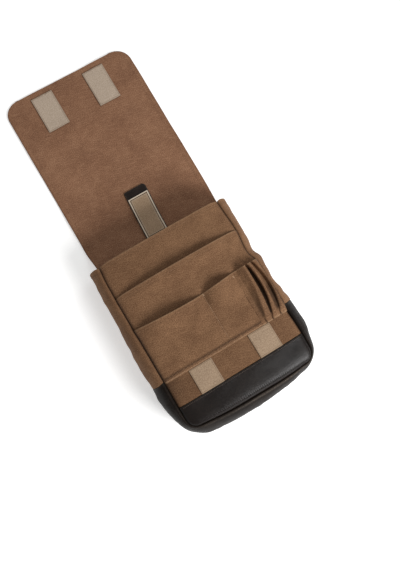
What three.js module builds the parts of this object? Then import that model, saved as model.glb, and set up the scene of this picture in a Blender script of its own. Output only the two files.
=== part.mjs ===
// A flap-top laptop backpack in waxed canvas and leather, lying on its back with the flap laid open.
// Millimetres. +Y runs up the bag from its leather base to the mouth and on along the open flap, and +Z is out of
// the front. Each piece is a wall or pad of its own. The group is moved at the end so that its origin is the middle
// of the footprint, on the surface that the bag lies on.
import * as THREE from "three";
import { mergeVertices } from "three/addons/utils/BufferGeometryUtils.js";

// Body. The front wall is measured between its side seams and from the mouth down to its bottom seam.
const frontWidth = 276;
const frontLength = 380;
const frontCorner = 26; // radius of the front seam at the lower corners
const bottomBow = 8; // how far the bottom seam bows out at its middle
const backWidth = 300;
const backLength = 392;
const backCorner = 50;
const mouthDepth = 63; // inside depth, from the back panel to the front wall, at the mouth
const baseDepth = 85; // the same at the top edge of the leather front
const bottomDepth = 79; // the same at the bottom seam
const sideBulge = 23; // how far the side walls swell out past the line between their two seams
const bottomBulge = 14;
const slump = 3.5; // the left side swells this much more than the middle, and the right side this much less

// Cloth, leather and padding.
const wall = 2; // front wall of doubled canvas
const gussetWall = 2.4;
const leatherWall = 2.4;
const leatherStep = 1.4; // how far the leather front stands above the canvas
const pocketCloth = 1.5;
const tape = 1.5; // hook and loop tape
const backPad = 6;
const clearance = 0.35; // gap between pieces that touch
const seamRidge = 1; // the side walls' rolled edge stands this much above the front wall's edge
const backLip = 2; // how far the back panel reaches past the seam of the side walls

// Shape of the front wall's face.
const crown = 5; // how much the front is puffed up along its middle
const edgeRoll = 4; // how far its face rolls down into the side seams

// Pockets on the front, measured down from the mouth.
const leatherHeight = 64; // leather front, from its top edge to the bottom seam's middle
const middlePocketTop = 74;
const lowerPocketTop = 145;
const lowerPocketSag = 7; // dip of the lower pocket's top edge between the left seam and the pen sleeves
const patchStrip = 52; // between the lower pocket and the leather, where the loop patches show
const lowerPocketHeight = frontLength - leatherHeight - patchStrip - lowerPocketTop;
const middlePocketHidden = lowerPocketHeight - 15; // how far the middle pocket runs on under the lower one
const middlePocketGape = 13; // how far the pockets' mouths stand open
const lowerPocketGape = 15;
const dividerAcross = 7.7; // stitched divider of the lower pocket, right of the middle
const penStart = 80; // where the pen sleeves begin, right of the middle
const penLift = 15; // height of the sleeves' folds at their open top
const penHollow = 0.45; // how far the valleys between the folds stay clear of the pocket behind

// Hook and loop patches.
const patchWidth = 50;
const frontPatchInset = 41; // from the middle to the patch's inner edge
const flapPatchInset = 38;
const flapPatchStart = 322; // from the flap's root
const flapPatchLength = 84;

// Flap.
const flapSpread = 2; // how much wider the flap is than the back
const flapWaist = 7; // how much narrower it is at its root
const flapLength = 420;
const flapCloth = 3;
const flapCorner = 34;
const flapFall = 65; // length over which the flap falls from the back panel to the surface

// Strap that holds the laptop in, laid out over the flap.
const tabWidth = 51;
const tabLength = 126; // past the mouth
const tabRoot = 44; // length inside the mouth
const tabLeather = 2.5;
const tabCorner = 10;
const tabLean = 8; // how far its end has swung to the right
const tabPatchWidth = 47.5;
const tabPatchStart = 10;
const tabPatchLength = 97.5;

// Shoulder straps, webbing and handle, folded flat under the back panel.
const strapPad = 10.5;
const strapWidth = 60;
const strapEndWidth = 38;
const strapTop = 50; // from the mouth
const strapTopAcross = 0.1533 * backWidth; // from the middle of the back to the middle of each strap's top
const strapEnd = 288;
const strapEndAcross = 0.28 * backWidth;
const webbingWidth = 25;
const webbing = 1.6;
const webbingRun = 85; // from the pad's end to the lower anchor
const webbingTail = 38;
const barDepth = 4; // bars of the ladder lock
const barHeight = 3.8;
const slotDepth = 7;
const lockRail = 4;
const handleWidth = 15;
const handleThickness = 9;
const handleReach = 50; // from the middle to each end of the handle
const handleTop = 13;
const handleDrop = 23;

// Levels and places that follow from those sizes.
const backUnder = strapPad + clearance;
const backFace = backUnder + backPad;
const frontHalf = frontWidth / 2;
const leatherEdge = -(frontLength - leatherHeight);
const lowerPocketEnd = -(lowerPocketTop + lowerPocketHeight);
const middlePocketEnd = -(lowerPocketTop + middlePocketHidden);
const cornerHalf = frontHalf - frontCorner; // the bottom seam's half length between its corners
const cornerStart = -(frontLength - bottomBow - frontCorner);
const cornerEnd = -(frontLength - bottomBow);
const patchTop = lowerPocketEnd - clearance;
const patchBottom = leatherEdge + clearance;
const lockLift = 2 * webbing + 3 * clearance; // from the surface to the ladder lock's underside

// Sections along the bag. Depth is the inside depth at the side seams.
const depthRows = [
  { y: 0, depth: mouthDepth },
  { y: leatherEdge, depth: baseDepth },
  { y: -frontLength, depth: bottomDepth },
];

// Swell of the base along half its seam, from the leather's top edge to the middle of the bottom.
const baseSwellRows = [
  { share: 0, swell: 0.98 * sideBulge },
  { share: 0.18, swell: sideBulge },
  { share: 0.32, swell: 0.7 * sideBulge },
  { share: 0.435, swell: 0.36 * sideBulge },
  { share: 0.522, swell: 0.64 * bottomBulge },
  { share: 0.7, swell: 0.93 * bottomBulge },
  { share: 1, swell: bottomBulge },
];

// Swell of the canvas sides from the mouth to the leather. The right one is drawn in beside the pen sleeves.
const leftSwellRows = [
  { share: 0, swell: 0.76 * sideBulge },
  { share: 0.4, swell: 0.86 * sideBulge },
  { share: 0.75, swell: 1.02 * sideBulge },
  { share: 1, swell: 0.98 * sideBulge },
];
const rightSwellRows = [
  { share: 0, swell: 0.67 * sideBulge },
  { share: 0.26, swell: 0.62 * sideBulge },
  { share: 0.38, swell: 0.61 * sideBulge },
  { share: 0.455, swell: 0.38 * sideBulge },
  { share: 0.53, swell: 0.73 * sideBulge },
  { share: 0.68, swell: 0.68 * sideBulge },
  { share: 0.76, swell: 0.63 * sideBulge },
  { share: 0.91, swell: 0.85 * sideBulge },
  { share: 1, swell: 0.98 * sideBulge },
];

// One row for each fold line of the pen sleeves. Its place across, from the sleeves' start to the side seam, is a
// share at the open top, halfway down and at the sewn bottom, and its rise is a share of the lift.
const penRows = [
  { top: 0, middle: 0, bottom: 0, rise: 0 },
  { top: 0.24, middle: 0.2, bottom: 0.085, rise: 0.1 },
  { top: 0.386, middle: 0.336, bottom: 0.13, rise: 0.92 },
  { top: 0.45, middle: 0.49, bottom: 0.31, rise: 0.92 },
  { top: 0.48, middle: 0.52, bottom: 0.34, rise: 0.05 },
  { top: 0.535, middle: 0.585, bottom: 0.365, rise: 0.03 },
  { top: 0.57, middle: 0.63, bottom: 0.4, rise: 0.97 },
  { top: 0.68, middle: 0.71, bottom: 0.61, rise: 0.97 },
  { top: 0.72, middle: 0.75, bottom: 0.645, rise: 0.05 },
  { top: 0.85, middle: 0.86, bottom: 0.67, rise: 0.03 },
  { top: 0.9, middle: 0.91, bottom: 0.705, rise: 0.82 },
  { top: 0.96, middle: 0.96, bottom: 0.9, rise: 0.82 },
  { top: 1, middle: 1, bottom: 1, rise: 0 },
];

// How much of its rise a fold keeps from the open top down to the sewn bottom.
const penFadeRows = [
  { down: 0, kept: 1 },
  { down: 0.5, kept: 0.8 },
  { down: 1, kept: 0.12 },
];

// How many flat facets stand in for the curved stretches.
const seamColumnShares = [0.3, 0.6, 0.86, 0.96];
const sectionFacets = 10;
const cornerFacets = 6;
const bottomFacets = 5;
const sideFacets = 3;
const gussetFacets = 20;
const flapFallFacets = 8;

const lerp = THREE.MathUtils.lerp;
const smoothstep = THREE.MathUtils.smoothstep;

// The value of one column of a table at a place along another, on a smooth curve through its rows.
function follow(rows, along, column, place) {
  const last = rows.length - 1;
  const rising = rows[last][along] > rows[0][along];
  let i = 0;
  while (i < last - 1 && (rising ? place > rows[i + 1][along] : place < rows[i + 1][along])) i += 1;
  const start = rows[i][along];
  const t = THREE.MathUtils.clamp((place - start) / (rows[i + 1][along] - start), 0, 1);
  const before = rows[Math.max(i - 1, 0)][column];
  const after = rows[Math.min(i + 2, last)][column];
  const a = rows[i][column];
  const b = rows[i + 1][column];
  const inSlope = (b - before) / 2;
  const outSlope = (after - a) / 2;
  const square = t * t;
  const cube = square * t;
  return (2 * cube - 3 * square + 1) * a + (cube - 2 * square + t) * inSlope
    + (3 * square - 2 * cube) * b + (cube - square) * outSlope;
}

// Evenly spaced values from start to end, both included.
function spread(start, end, steps) {
  return Array.from({ length: steps + 1 }, (_, i) => lerp(start, end, i / steps));
}

// Turns a list of corner points, three to a triangle, into a geometry whose faces point out.
function closedGeometry(corners) {
  let volume = 0;
  for (let i = 0; i < corners.length; i += 3) {
    volume += corners[i].dot(corners[i + 1].clone().cross(corners[i + 2]));
  }
  const facing = volume > 0 ? corners : corners.slice().reverse();
  const soup = new THREE.BufferGeometry().setFromPoints(facing);
  const geometry = mergeVertices(soup, 1e-4);
  geometry.computeVertexNormals();
  return geometry;
}

function addQuad(corners, a, b, c, d) {
  corners.push(a, b, c, a, c, d);
}

// A wall between two faces. point(row, column, side) gives its outer face for side 1 and its inner face for side -1.
function wallGeometry(rows, columns, point) {
  const grid = (side) => Array.from({ length: rows + 1 }, (_, r) =>
    Array.from({ length: columns + 1 }, (_, c) => point(r, c, side)));
  const outer = grid(1);
  const inner = grid(-1);
  const corners = [];
  for (let r = 0; r < rows; r += 1) {
    for (let c = 0; c < columns; c += 1) {
      addQuad(corners, outer[r][c], outer[r][c + 1], outer[r + 1][c + 1], outer[r + 1][c]);
      addQuad(corners, inner[r + 1][c + 1], inner[r][c + 1], inner[r][c], inner[r + 1][c]);
    }
    addQuad(corners, outer[r][0], outer[r + 1][0], inner[r + 1][0], inner[r][0]);
    addQuad(corners, outer[r + 1][columns], outer[r][columns], inner[r][columns], inner[r + 1][columns]);
  }
  for (let c = 0; c < columns; c += 1) {
    addQuad(corners, outer[0][c + 1], outer[0][c], inner[0][c], inner[0][c + 1]);
    addQuad(corners, outer[rows][c], outer[rows][c + 1], inner[rows][c + 1], inner[rows][c]);
  }
  return closedGeometry(corners);
}

// A solid through closed sections that all have the same number of points, with flat ends.
function loftGeometry(sections) {
  const corners = [];
  const count = sections[0].length;
  for (let s = 0; s < sections.length - 1; s += 1) {
    for (let i = 0; i < count; i += 1) {
      const j = (i + 1) % count;
      addQuad(corners, sections[s][i], sections[s][j], sections[s + 1][j], sections[s + 1][i]);
    }
  }
  const first = sections[0];
  const end = sections[sections.length - 1];
  for (let i = 1; i < count - 1; i += 1) {
    corners.push(first[0], first[i + 1], first[i], end[0], end[i], end[i + 1]);
  }
  return closedGeometry(corners);
}

// Height of the front wall's outer face at its side seams.
function seamHeight(y) {
  const i = y > leatherEdge ? 0 : 1;
  const share = (y - depthRows[i].y) / (depthRows[i + 1].y - depthRows[i].y);
  return backFace + lerp(depthRows[i].depth, depthRows[i + 1].depth, Math.min(share, 1)) + wall;
}

// Puff of the front above its seams, for a place across given as a share of the half width.
function frontPuff(share) {
  const across = Math.min(Math.abs(share), 1);
  return crown * (1 - across ** 2.5) + edgeRoll * (1 - across ** 24);
}

function frontHeight(x, y) {
  return seamHeight(y) + frontPuff(x / frontHalf);
}

// Lines across the front that every layer shares, so that their facets lie parallel.
function frontColumns(left, right) {
  const lines = [dividerAcross, penStart, left, right];
  for (const share of seamColumnShares) lines.push(share * frontHalf, -share * frontHalf);
  return [...new Set(lines)].filter((x) => x >= left && x <= right).sort((a, b) => a - b);
}

const materials = {
  canvas: { color: 0x7b5b43, roughness: 0.9, metalness: 0 },
  leather: { color: 0x2e2522, roughness: 0.5, metalness: 0 },
  tape: { color: 0x9c8468, roughness: 0.95, metalness: 0 },
  webbing: { color: 0x6d513c, roughness: 0.9, metalness: 0 },
  metal: { color: 0x4a4640, roughness: 0.4, metalness: 1 },
};

const bag = new THREE.Group();

function addPiece(name, finish, geometry, parent = bag) {
  const mesh = new THREE.Mesh(geometry, new THREE.MeshStandardMaterial(materials[finish]));
  mesh.name = name;
  parent.add(mesh);
  return mesh;
}

// A layer of the front, given its levels down a line across the front and the height of its underside.
function frontLayer(lines, levels, thickness, under) {
  return wallGeometry(levels(0).length - 1, lines.length - 1, (r, c, side) => {
    const x = lines[c];
    const y = levels(x)[r];
    return new THREE.Vector3(x, y, under(x, y) + (side > 0 ? thickness : 0));
  });
}

// Front wall of the main compartment, from the mouth to the leather.
function addFrontWall() {
  const lines = frontColumns(-frontHalf, frontHalf);
  const under = (x, y) => frontHeight(x, y) - wall;
  const levels = spread(0, leatherEdge + clearance, 2);
  addPiece("front_wall", "canvas", frontLayer(lines, () => levels, wall, under));
}

// Half width of the leather front, which follows the seam round the lower corners.
function leatherHalf(y) {
  const past = Math.max(cornerStart - y, 0);
  return cornerHalf + Math.sqrt(Math.max(frontCorner ** 2 - past ** 2, 0));
}

function addBasePanel() {
  const turns = spread(0, Math.PI / 2, cornerFacets).map((turn) => cornerStart - frontCorner * Math.sin(turn));
  const levels = [leatherEdge, lerp(leatherEdge, cornerStart, 0.5), ...turns];
  const shares = [-1, -0.96, -0.86, -0.6, -0.3, 0, 0.3, 0.6, 0.86, 0.96, 1];
  const geometry = wallGeometry(levels.length - 1, shares.length - 1, (r, c, side) => {
    const half = leatherHalf(levels[r]);
    const x = shares[c] * half;
    const down = (leatherEdge - levels[r]) / (leatherEdge - cornerEnd);
    const y = levels[r] - bottomBow * Math.max(0, 1 - (x / cornerHalf) ** 2) * down ** 2;
    const face = seamHeight(levels[r]) + frontPuff(shares[c]) * (1 - down ** 5) + leatherStep;
    return new THREE.Vector3(x, y, face - (side > 0 ? 0 : leatherWall));
  });
  addPiece("base_panel", "leather", geometry);
}

// Underside of the middle pocket, which lies on the front wall and gapes towards its top edge.
function middleUnder(x, y) {
  const open = smoothstep(y, -lowerPocketTop, -middlePocketTop) ** 2;
  const bump = 1 - (x / frontHalf) ** 2;
  return frontHeight(x, y) + clearance + middlePocketGape * open * bump;
}

function addMiddlePocket() {
  const lines = frontColumns(-frontHalf, frontHalf);
  const levels = [0, 0.14, 0.32, 0.52, 0.76, 1].map((share) => -lerp(middlePocketTop, lowerPocketTop, share));
  levels.push(middlePocketEnd);
  addPiece("middle_pocket", "canvas", frontLayer(lines, () => levels, pocketCloth, middleUnder));
}

// Where the lower pocket and the pen sleeves rest: on the middle pocket, and past its end down to the front wall.
const hemStart = middlePocketEnd - clearance;

function lowerRest(x, y) {
  const onPocket = Math.min((y - lowerPocketEnd) / (hemStart - lowerPocketEnd), 1);
  return frontHeight(x, y) + clearance + (pocketCloth + clearance) * onPocket;
}

// Top edge of the lower pocket, which dips between its ends.
function lowerTopEdge(x) {
  const place = (x + frontHalf) / (penStart + frontHalf);
  return -lowerPocketTop - lowerPocketSag * Math.sin(Math.PI * THREE.MathUtils.clamp(place, 0, 1));
}

function lowerUnder(x, y) {
  const left = x < dividerAcross ? -frontHalf : dividerAcross;
  const right = x < dividerAcross ? dividerAcross : penStart;
  const bump = Math.sin((Math.PI * (x - left)) / (right - left));
  const open = smoothstep(y, lowerPocketEnd + 0.35 * lowerPocketHeight, -lowerPocketTop);
  return lowerRest(x, y) + lowerPocketGape * open ** 1.5 * bump;
}

function addLowerPocket() {
  const extra = [lerp(-frontHalf, dividerAcross, 0.42), lerp(-frontHalf, dividerAcross, 0.84)];
  const lines = [...frontColumns(-frontHalf, penStart - clearance), ...extra].sort((a, b) => a - b);
  const levels = (x) => [0, 0.16, 0.35, 0.56, 0.78, 1].map((share) => lerp(lowerTopEdge(x), hemStart, share));
  const geometry = frontLayer(lines, (x) => [...levels(x), lowerPocketEnd], pocketCloth, lowerUnder);
  addPiece("lower_pocket", "canvas", geometry);
}

// Pen sleeves: one sheet pleated into three folds that stand up at the open top and lie flat at the sewn bottom.
function addPenSleeves() {
  const width = frontHalf - penStart;
  const levels = [...spread(-lowerPocketTop, hemStart, 5), lowerPocketEnd];
  const foldPoint = (r, c) => {
    const down = (-lowerPocketTop - levels[r]) / lowerPocketHeight;
    const { top, middle, bottom, rise } = penRows[c];
    const bend = 4 * (middle - (top + bottom) / 2) * down * (1 - down);
    const x = penStart + width * (lerp(top, bottom, down) + bend);
    const lift = penHollow + penLift * rise * follow(penFadeRows, "down", "kept", down);
    return new THREE.Vector3(x, levels[r], lowerRest(x, levels[r]) + pocketCloth / 2 + lift);
  };
  const geometry = wallGeometry(levels.length - 1, penRows.length - 1, (r, c, side) => {
    const point = foldPoint(r, c);
    const left = foldPoint(r, Math.max(c - 1, 0));
    const right = foldPoint(r, Math.min(c + 1, penRows.length - 1));
    const slope = right.sub(left);
    const normal = new THREE.Vector3(-slope.z, 0, slope.x).normalize();
    if (c === 0 || c === penRows.length - 1) normal.set(0, 0, 1);
    return point.addScaledVector(normal, (side * pocketCloth) / 2);
  });
  addPiece("pen_sleeves", "canvas", geometry);
}

// A flat patch on a surface, given the height of its underside at each place.
function patchGeometry(xLow, xHigh, levels, under) {
  return wallGeometry(levels.length - 1, 2, (r, c, side) => {
    const x = lerp(xLow, xHigh, c / 2);
    return new THREE.Vector3(x, levels[r], under(x, levels[r]) + (side > 0 ? tape : 0));
  });
}

function addLoopPatches() {
  for (const [name, side] of [["left", -1], ["right", 1]]) {
    const inner = side * frontPatchInset;
    const outer = side * (frontPatchInset + patchWidth);
    const under = (x, y) => frontHeight(x, y) + clearance;
    const geometry = patchGeometry(Math.min(inner, outer), Math.max(inner, outer), [patchTop, patchBottom], under);
    addPiece(`loop_patch_${name}`, "tape", geometry);
  }
}

// A point of a side or base wall. The section is half an ellipse from the front seam to the back seam.
function gussetPoint(front, back, outward, swell, angle, inset) {
  const share = (1 - Math.sin(angle)) / 2;
  const reach = (swell - inset) * Math.cos(angle);
  const high = seamHeight(front.y) + seamRidge - inset;
  const low = backFace + clearance + inset;
  return new THREE.Vector3(
    lerp(front.x, back.x, share) + outward.x * reach,
    lerp(front.y, back.y, share) + outward.y * reach,
    lerp(high, low, share),
  );
}

const sectionAngles = spread(Math.PI / 2, -Math.PI / 2, sectionFacets);

function addSideWall(name, side, swellRows) {
  const levels = spread(0, lowerPocketEnd + clearance, gussetFacets);
  const outward = new THREE.Vector2(side, 0);
  const geometry = wallGeometry(gussetFacets, sectionFacets, (r, c, face) => {
    const front = new THREE.Vector2(side * (frontHalf + clearance), levels[r]);
    const back = new THREE.Vector2((side * backWidth) / 2, levels[r]);
    const swell = follow(swellRows, "share", "swell", levels[r] / lowerPocketEnd) - side * slump;
    return gussetPoint(front, back, outward, swell, sectionAngles[c], face > 0 ? 0 : gussetWall);
  });
  addPiece(name, "canvas", geometry);
}

// Half the base wall's seams, from the leather's top edge down the right side and along to the middle of the bottom.
function baseStations() {
  const stations = [];
  const frontStraight = spread(lowerPocketEnd, cornerStart, sideFacets);
  const backStraight = spread(lowerPocketEnd, backCorner - backLength, sideFacets);
  const halfGap = frontHalf + clearance;
  for (let i = 0; i < sideFacets; i += 1) {
    const front = new THREE.Vector2(halfGap, frontStraight[i]);
    const back = new THREE.Vector2(backWidth / 2, backStraight[i]);
    stations.push({ front, back, outward: new THREE.Vector2(1, 0) });
  }
  for (const turn of spread(0, Math.PI / 2, cornerFacets)) {
    const outward = new THREE.Vector2(Math.cos(turn), -Math.sin(turn));
    const front = new THREE.Vector2(cornerHalf, cornerStart).addScaledVector(outward, frontCorner + clearance);
    const back = new THREE.Vector2(backWidth / 2 - backCorner, backCorner - backLength);
    stations.push({ front, back: back.addScaledVector(outward, backCorner), outward });
  }
  for (const share of spread(1, 0, bottomFacets).slice(1)) {
    const drop = bottomBow * (1 - share ** 2);
    const front = new THREE.Vector2(cornerHalf * share, cornerEnd - clearance - drop);
    const back = new THREE.Vector2((backWidth / 2 - backCorner) * share, -backLength);
    stations.push({ front, back, outward: new THREE.Vector2(0, -1) });
  }
  let run = 0;
  stations.forEach((station, i) => {
    run += i ? station.front.distanceTo(stations[i - 1].front) : 0;
    station.run = run;
  });
  return stations.map((station) => ({ ...station, share: station.run / run }));
}

function addBaseWall() {
  const half = baseStations();
  const mirror = (v) => new THREE.Vector2(-v.x, v.y);
  const flip = (s) => ({ ...s, front: mirror(s.front), back: mirror(s.back), outward: mirror(s.outward) });
  const path = [...half, ...half.slice(0, -1).reverse().map(flip)];
  const geometry = wallGeometry(path.length - 1, sectionFacets, (r, c, face) => {
    const { front, back, outward, share } = path[r];
    const lean = slump * (1 - share) * Math.sign(front.x);
    const swell = follow(baseSwellRows, "share", "swell", share) - lean;
    return gussetPoint(front, back, outward, swell, sectionAngles[c], face > 0 ? 0 : leatherWall);
  });
  addPiece("base_wall", "leather", geometry);
}

function addBackPanel() {
  const half = backWidth / 2 + backLip;
  const corner = backCorner + backLip;
  const low = -(backLength + backLip);
  const shape = new THREE.Shape();
  shape.moveTo(-half, 0);
  shape.lineTo(-half, low + corner);
  shape.absarc(-half + corner, low + corner, corner, Math.PI, 1.5 * Math.PI, false);
  shape.absarc(half - corner, low + corner, corner, 1.5 * Math.PI, 2 * Math.PI, false);
  shape.lineTo(half, 0);
  const geometry = new THREE.ExtrudeGeometry(shape, { depth: backPad, bevelEnabled: false, curveSegments: 10 });
  addPiece("back_panel", "canvas", geometry).position.z = backUnder;
}

// Underside of the flap above the surface, falling from the back panel's edge.
function flapUnder(y) {
  const rootUnder = backFace - flapCloth - clearance;
  return rootUnder * (1 - smoothstep(y, 0, flapFall));
}

function flapHalf(y) {
  const side = (backWidth - lerp(flapWaist, -flapSpread, smoothstep(y, 0, flapFall))) / 2;
  const past = Math.max(y - (flapLength - flapCorner), 0);
  return side - flapCorner + Math.sqrt(Math.max(flapCorner ** 2 - past ** 2, 0));
}

const fallLevels = spread(0, flapFall, flapFallFacets);

function addFlap() {
  const turns = spread(0, Math.PI / 2, cornerFacets);
  const ends = turns.map((turn) => flapLength - flapCorner + flapCorner * Math.sin(turn));
  const levels = [clearance, ...fallLevels.slice(1), (flapFall + flapLength) / 2, ...ends];
  const columns = 6;
  const geometry = wallGeometry(levels.length - 1, columns, (r, c, side) => {
    const x = lerp(-1, 1, c / columns) * flapHalf(levels[r]);
    return new THREE.Vector3(x, levels[r], flapUnder(levels[r]) + (side > 0 ? flapCloth : 0));
  });
  addPiece("flap", "canvas", geometry);
}

function addHookPatches() {
  for (const [name, side] of [["left", -1], ["right", 1]]) {
    const inner = side * flapPatchInset;
    const outer = side * (flapPatchInset + patchWidth);
    const levels = [flapPatchStart, flapPatchStart + flapPatchLength];
    const under = (x, y) => flapUnder(y) + flapCloth + clearance;
    addPiece(
      `hook_patch_${name}`,
      "tape",
      patchGeometry(Math.min(inner, outer), Math.max(inner, outer), levels, under),
    );
  }
}

// Underside of the laptop strap: on the back panel inside the mouth, then down the flap.
function tabUnder(y) {
  const step = backFace - (flapUnder(0) + flapCloth);
  const onFlap = flapUnder(y) + flapCloth + step * (1 - smoothstep(y, 0, flapFall / 2));
  return clearance + (y > 0 ? onFlap : backFace);
}

function tabMiddle(y) {
  return tabLean * Math.max(y, 0) / tabLength;
}

function addLaptopTab() {
  const turns = spread(0, Math.PI / 2, cornerFacets / 2);
  const ends = turns.map((turn) => tabLength - tabCorner + tabCorner * Math.sin(turn));
  const levels = [-tabRoot, ...fallLevels, ...ends];
  const geometry = wallGeometry(levels.length - 1, 2, (r, c, side) => {
    const y = levels[r];
    const past = Math.max(y - (tabLength - tabCorner), 0);
    const half = tabWidth / 2 - tabCorner + Math.sqrt(Math.max(tabCorner ** 2 - past ** 2, 0));
    return new THREE.Vector3(tabMiddle(y) + (c - 1) * half, y, tabUnder(y) + (side > 0 ? tabLeather : 0));
  });
  addPiece("laptop_tab", "leather", geometry);
}

function addTabPatch() {
  const end = tabPatchStart + tabPatchLength;
  const levels = [tabPatchStart, ...fallLevels.filter((y) => y > tabPatchStart + 1 && y < end - 1), end];
  const geometry = wallGeometry(levels.length - 1, 2, (r, c, side) => {
    const y = levels[r];
    const under = tabUnder(y) + tabLeather + clearance;
    const x = tabMiddle(y) + ((c - 1) * tabPatchWidth) / 2;
    return new THREE.Vector3(x, y, under + (side > 0 ? tape : 0));
  });
  addPiece("tab_patch", "tape", geometry);
}

// A padded strip that lies flat along a path, with its long edges rounded off. Stations hold x, y and width.
function padGeometry(stations, low, high) {
  const edge = (high - low) / 3;
  const path = new THREE.CatmullRomCurve3(stations.map((s) => new THREE.Vector3(s.x, s.y, 0)));
  const sections = stations.map((station, i) => {
    const along = path.getTangent(i / (stations.length - 1));
    const across = new THREE.Vector3(-along.y, along.x, 0).normalize();
    const half = station.width / 2;
    const outline = [
      [-half, low + edge], [-half + edge, low], [half - edge, low], [half, low + edge],
      [half, high - edge], [half - edge, high], [-half + edge, high], [-half, high - edge],
    ];
    return outline.map(([out, z]) => new THREE.Vector3(station.x, station.y, z).addScaledVector(across, out));
  });
  return loftGeometry(sections);
}

// Middle line of a shoulder strap: how far down from its top, how far out, and its width, all as shares.
const strapRows = [
  { down: 0, out: 0, narrow: 0 },
  { down: 0.2, out: 0.1, narrow: 0 },
  { down: 0.4, out: 0.28, narrow: 0.08 },
  { down: 0.6, out: 0.5, narrow: 0.32 },
  { down: 0.8, out: 0.73, narrow: 0.7 },
  { down: 1, out: 1, narrow: 1 },
];

function addShoulderStrap(name, side) {
  const stations = strapRows.map((row) => ({
    x: side * lerp(strapTopAcross, strapEndAcross, row.out),
    y: -lerp(strapTop, strapEnd, row.down),
    width: lerp(strapWidth, strapEndWidth, row.narrow),
  }));
  addPiece(`shoulder_strap_${name}`, "canvas", padGeometry(stations, 0, strapPad));
  const last = stations[stations.length - 1];
  const before = stations[stations.length - 2];
  const hardware = new THREE.Group();
  hardware.position.set(last.x, last.y, 0);
  hardware.rotation.z = Math.atan2(last.x - before.x, before.y - last.y);
  bag.add(hardware);
  addKeeper(name, hardware);
  addLadderLock(name, hardware);
  addWebbing(name, hardware);
}

const barPitch = barDepth + slotDepth;
const lockStart = barDepth; // from the pad's end to the lock's first bar
const lockLength = 3 * barDepth + 2 * slotDepth;
const slotWidth = webbingWidth + 2;

// Loop of webbing at the pad's end, round the ladder lock's first bar.
function addKeeper(name, parent) {
  const out = new THREE.Shape();
  const top = lockLift + barHeight + clearance + webbing;
  const low = lockLift - clearance - webbing;
  out.moveTo(-clearance, low);
  out.lineTo(-clearance, top);
  out.lineTo(-(lockStart + barDepth + clearance + webbing), top);
  out.lineTo(-(lockStart + barDepth + clearance + webbing), low);
  const hole = new THREE.Path();
  hole.moveTo(-(lockStart - clearance), low + webbing);
  hole.lineTo(-(lockStart + barDepth + clearance), low + webbing);
  hole.lineTo(-(lockStart + barDepth + clearance), top - webbing);
  hole.lineTo(-(lockStart - clearance), top - webbing);
  out.holes.push(hole);
  const geometry = new THREE.ExtrudeGeometry(out, { depth: webbingWidth, bevelEnabled: false });
  geometry.translate(0, 0, -webbingWidth / 2);
  const toAlong = new THREE.Matrix4().makeBasis(
    new THREE.Vector3(0, 1, 0),
    new THREE.Vector3(0, 0, 1),
    new THREE.Vector3(1, 0, 0),
  );
  geometry.applyMatrix4(toAlong);
  addPiece(`strap_keeper_${name}`, "webbing", geometry, parent);
}

// Ladder lock with three bars and two slots.
function addLadderLock(name, parent) {
  const half = slotWidth / 2 + lockRail;
  const frame = new THREE.Shape();
  frame.moveTo(-half, -lockStart);
  frame.lineTo(-half, -(lockStart + lockLength));
  frame.lineTo(half, -(lockStart + lockLength));
  frame.lineTo(half, -lockStart);
  for (const i of [0, 1]) {
    const near = -(lockStart + barDepth + i * barPitch);
    const slot = new THREE.Path();
    slot.moveTo(-slotWidth / 2, near);
    slot.lineTo(slotWidth / 2, near);
    slot.lineTo(slotWidth / 2, near - slotDepth);
    slot.lineTo(-slotWidth / 2, near - slotDepth);
    frame.holes.push(slot);
  }
  const geometry = new THREE.ExtrudeGeometry(frame, { depth: barHeight, bevelEnabled: false });
  addPiece(`ladder_lock_${name}`, "metal", geometry, parent).position.z = lockLift;
}

// Webbing from its free tail through the ladder lock and down to its anchor under the back panel.
function addWebbing(name, parent) {
  const half = webbing / 2;
  const low = half + clearance;
  const tail = low + webbing + clearance;
  const over = lockLift + barHeight + clearance + half;
  const anchor = backUnder - clearance - half;
  const middleBar = lockStart + barPitch;
  const farSlot = middleBar + barDepth + slotDepth / 2;
  const nearSlot = middleBar - slotDepth / 2;
  const tailEnd = lockStart + lockLength + webbingTail - barPitch;
  const turn = webbing;
  const path = [
    [tailEnd, tail],
    [farSlot + turn, tail],
    [farSlot, tail + turn],
    [farSlot, over - turn],
    [farSlot - turn, over],
    [nearSlot + turn, over],
    [nearSlot, over - turn],
    [nearSlot, low + turn],
    [nearSlot + turn, low],
    [tailEnd + 2 * turn, low],
    [webbingRun - 6 * turn, lerp(low, anchor, 0.8)],
    [webbingRun, anchor],
  ].map(([down, z]) => new THREE.Vector2(-down, z));
  const geometry = wallGeometry(path.length - 1, 1, (r, c, side) => {
    const before = path[Math.max(r - 1, 0)];
    const after = path[Math.min(r + 1, path.length - 1)];
    const along = after.clone().sub(before).normalize();
    const centre = path[r];
    return new THREE.Vector3(
      (c - 0.5) * webbingWidth,
      centre.x - side * half * along.y,
      centre.y + side * half * along.x,
    );
  });
  addPiece(`strap_webbing_${name}`, "webbing", geometry, parent);
}

// Rolled carrying handle, an arc that lies flat under the top of the back panel.
function addGrabHandle() {
  const stations = spread(-1, 1, 8).map((share) => ({
    x: share * handleReach,
    y: -handleTop - handleDrop * (1 - share ** 2),
    width: handleWidth,
  }));
  addPiece("grab_handle", "leather", padGeometry(stations, strapPad - handleThickness, strapPad));
}

addBackPanel();
addBaseWall();
addSideWall("left_side", -1, leftSwellRows);
addSideWall("right_side", 1, rightSwellRows);
addFrontWall();
addBasePanel();
addMiddlePocket();
addLowerPocket();
addPenSleeves();
addLoopPatches();
addFlap();
addHookPatches();
addLaptopTab();
addTabPatch();
addShoulderStrap("left", -1);
addShoulderStrap("right", 1);
addGrabHandle();

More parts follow.
